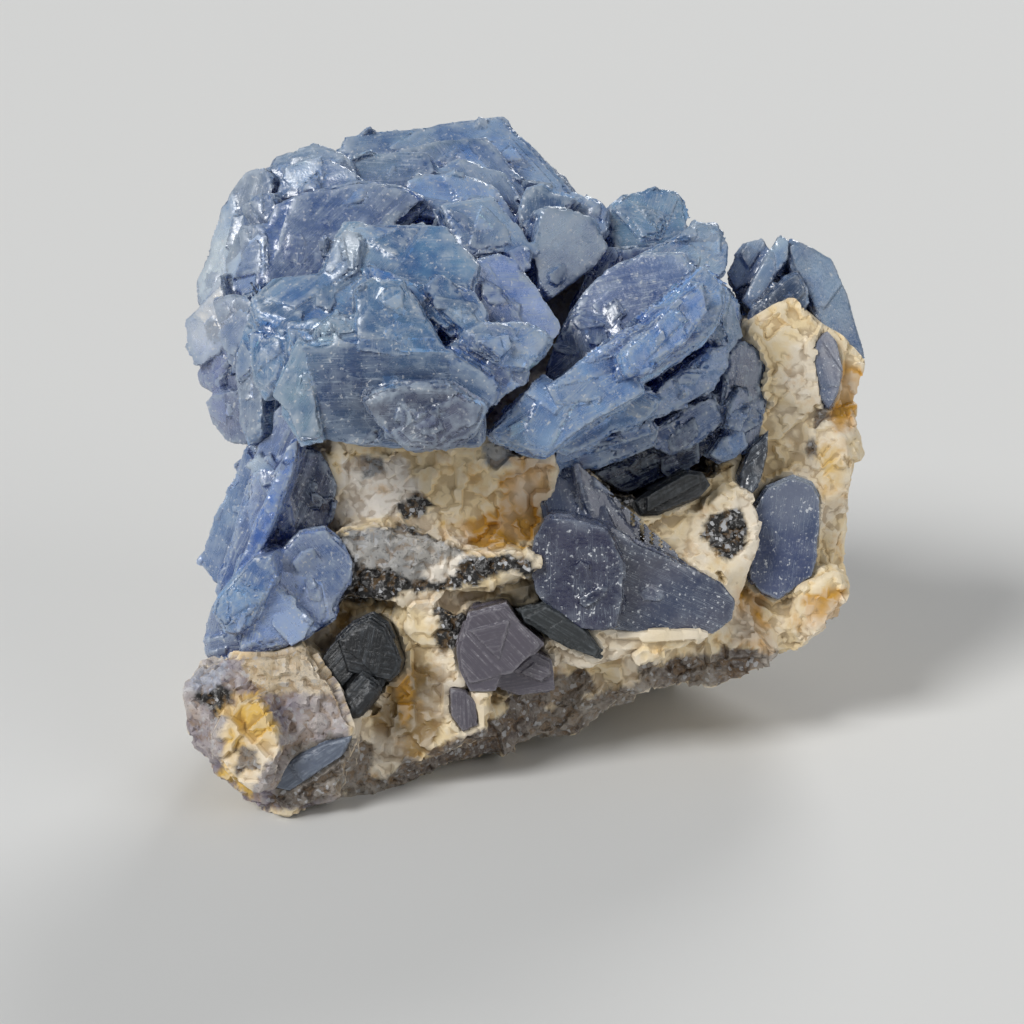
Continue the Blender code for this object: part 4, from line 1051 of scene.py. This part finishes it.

# %% [markdown]
# **Feldspar** is waxy and cream, chalky where it has weathered and honey-coloured where iron has stained it.
# ** Mica** lies in it as black grains with bright flakes. The grit that was stored with the zones says how much
# mica there is, so one material shows both and they blend into each other, as they do in the stone. Painted shade
# darkens the rock towards brown where a point sees little of the sky, sharp valleys are tinted brown, and pale
# worn ridges come from the measures of the mesh.

# %% Feldspar and mica
def feldspar():
    """Broken feldspar with mica: cream, waxy on its cleavages, with fine stains, and dark sparkling grains."""
    material, tree = new_material("feldspar_broken_with_mica")
    tone = add(tree, "Attribute", {}, "Color", attribute_name="tone")
    grit = add(tree, "Attribute", {}, "Fac", attribute_name="grit")
    ridge = add(tree, "Attribute", {}, "Fac", attribute_name="ridge")
    sky = add(tree, "Attribute", {}, "Fac", attribute_name="open")
    place = add(tree, "TexCoord", {}, "Object")
    stain = add(tree, "TexNoise", {"Vector": place, "Scale": 260.0, "Detail": 5.0, "Roughness": 0.66})
    blotch = add(tree, "TexNoise", {"Vector": place, "Scale": 110.0, "Detail": 3.0})
    grains = add(tree, "TexNoise", {"Vector": place, "Scale": 1500.0, "Detail": 3.0, "Roughness": 0.75})
    flakes = add(tree, "TexVoronoi", {"Vector": place, "Scale": 1900.0, "Randomness": 1.0}, "Color")
    flake = add(tree, "SeparateColor", {"Color": flakes}, "Red")
    chalk = add(tree, "MapRange", {"Value": blotch, 1: 0.44, 2: 0.60, 3: 0.0, 4: 0.75})
    white = add(tree, "Mix", {0: chalk, 6: tone, 7: linear("#F2E7D6")}, **MIXED)
    warm = add(tree, "MapRange", {"Value": stain, 1: 0.54, 2: 0.72, 3: 0.0, 4: 0.65})
    honey = add(tree, "Mix", {0: warm, 6: white, 7: linear("#D3A24E")}, **MIXED)
    clean = add(tree, "Mix", {0: grit, 6: honey, 7: tone}, **MIXED)
    # painted shade: the rock turns dark brown where a point sees little of the sky, in its hollows and under the
    # crystals
    cavity_shade_share = add(tree, "MapRange", {"Value": sky, 1: 0.10, 2: 0.45, 3: 0.75, 4: 0.0})
    cavity_shaded = add(tree, "Mix", {0: cavity_shade_share, 6: clean, 7: linear("#5A4630")}, **MIXED)
    valley = add(tree, "MapRange", {"Value": ridge, 1: -0.35, 2: -1.0, 3: 0.0, 4: 0.45})
    lined = add(tree, "Mix", {0: valley, 6: cavity_shaded, 7: linear("#8A6A3E")}, **MIXED)
    worn = add(tree, "MapRange", {"Value": ridge, 1: 0.3, 2: 1.0, 3: 0.0, 4: 0.3})
    fresh = add(tree, "Mix", {0: worn, 6: lined, 7: linear("#F4ECDD")}, **MIXED)
    stone = add(tree, "Mix", {0: grit, 6: fresh, 7: lined}, **MIXED)
    silver = add(tree, "MapRange", {"Value": grains, 1: 0.53, 2: 0.64, 3: 0.0, 4: 0.9})
    pale = add(tree, "Math", {0: silver, 1: grit}, operation="MULTIPLY")
    light = add(tree, "Mix", {0: pale, 6: stone, 7: linear("#9A9896")}, **MIXED)
    black = add(tree, "MapRange", {"Value": grains, 1: 0.34, 2: 0.46, 3: 0.9, 4: 0.0})
    dark = add(tree, "Math", {0: black, 1: grit}, operation="MULTIPLY")
    shaded = add(tree, "Mix", {0: dark, 6: light, 7: linear("#121111")}, **MIXED)
    bright = add(tree, "MapRange", {"Value": flake, 1: 0.91, 2: 0.94, 3: 0.0, 4: 0.9})
    glint = add(tree, "Math", {0: bright, 1: grit}, operation="MULTIPLY")
    colour = add(tree, "Mix", {0: glint, 6: shaded, 7: linear("#BFC0C2")}, **MIXED)
    rough = add(tree, "MapRange", {"Value": grains, 1: 0.3, 2: 0.7, 3: 0.32, 4: 0.7})
    bumps = add(tree, "Math", {0: grains, 1: stain}, operation="ADD")
    bump = add(tree, "Bump", {"Height": bumps, "Strength": 0.5, "Distance": 0.22 * MM})
    shader = add(tree, "BsdfPrincipled", {
        "Base Color": colour, "Roughness": rough, "IOR": 1.53, "Normal": bump})
    add(tree, "OutputMaterial", {"Surface": shader})
    return material


rock.data.materials.clear()
rock.data.materials.append(feldspar())
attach(rock, "root")
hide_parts("matrix_rock")


# %% [markdown]
# The specimen stands on a pale sheet in soft studio light: a wide light from the upper left that brings out the
# terraces, a weaker one from the right, and one from behind that shines through the rims of the crystals. Area
# lamps would leave a dark far edge on the floor, so distant ones are used. A few bounces of light are enough.

# %% Floor, light and camera
def pale_floor():
    """A plain pale surface, larger than the picture."""
    mesh = bmesh.new()
    bmesh.ops.create_grid(mesh, x_segments=8, y_segments=8, size=3.0)
    floor = put_in_scene("studio_floor", finished(mesh, "studio_floor"))
    material, tree = new_material("paper_pale_matte")
    shader = add(tree, "BsdfPrincipled", {"Base Color": linear("#DEDEDC"), "Roughness": 0.9})
    add(tree, "OutputMaterial", {"Surface": shader})
    floor.data.materials.append(material)


def soft_light(name, place, spread, power):
    """A distant light from one side, as a large window gives. spread is how wide it looks, in degrees."""
    lamp = bpy.data.lights.new(name, "SUN")
    lamp.angle, lamp.energy = math.radians(spread), power
    thing = bpy.data.objects.new(name, lamp)
    thing.rotation_euler = Vector(place).to_track_quat("Z", "Y").to_euler()
    bpy.context.scene.collection.objects.link(thing)


pale_floor()
soft_light("key", (-0.58, -0.50, 0.66), 22.0, 2.15)
soft_light("fill", (0.80, -0.55, 0.40), 40.0, 0.55)
soft_light("back", (0.25, 0.75, 0.50), 22.0, 1.1)
world = bpy.data.worlds.new("studio_air")
world.use_nodes = True
world.node_tree.nodes["Background"].inputs["Color"].default_value = (*linear("#DDE0E4"), 1.0)
world.node_tree.nodes["Background"].inputs["Strength"].default_value = 0.24
bpy.context.scene.world = world
camera = bpy.data.objects.new("camera", bpy.data.cameras.new("camera"))
camera.data.lens, camera.data.sensor_width = LENS_MM, SENSOR_MM
camera.location = EYE
camera.rotation_euler = (-TOWARDS).to_track_quat("-Z", "Y").to_euler()
bpy.context.scene.collection.objects.link(camera)
bpy.context.scene.camera = camera
bpy.context.scene.view_settings.view_transform = "Standard"
cycles = bpy.context.scene.cycles
cycles.max_bounces, cycles.transmission_bounces, cycles.diffuse_bounces, cycles.glossy_bounces = 6, 4, 2, 2
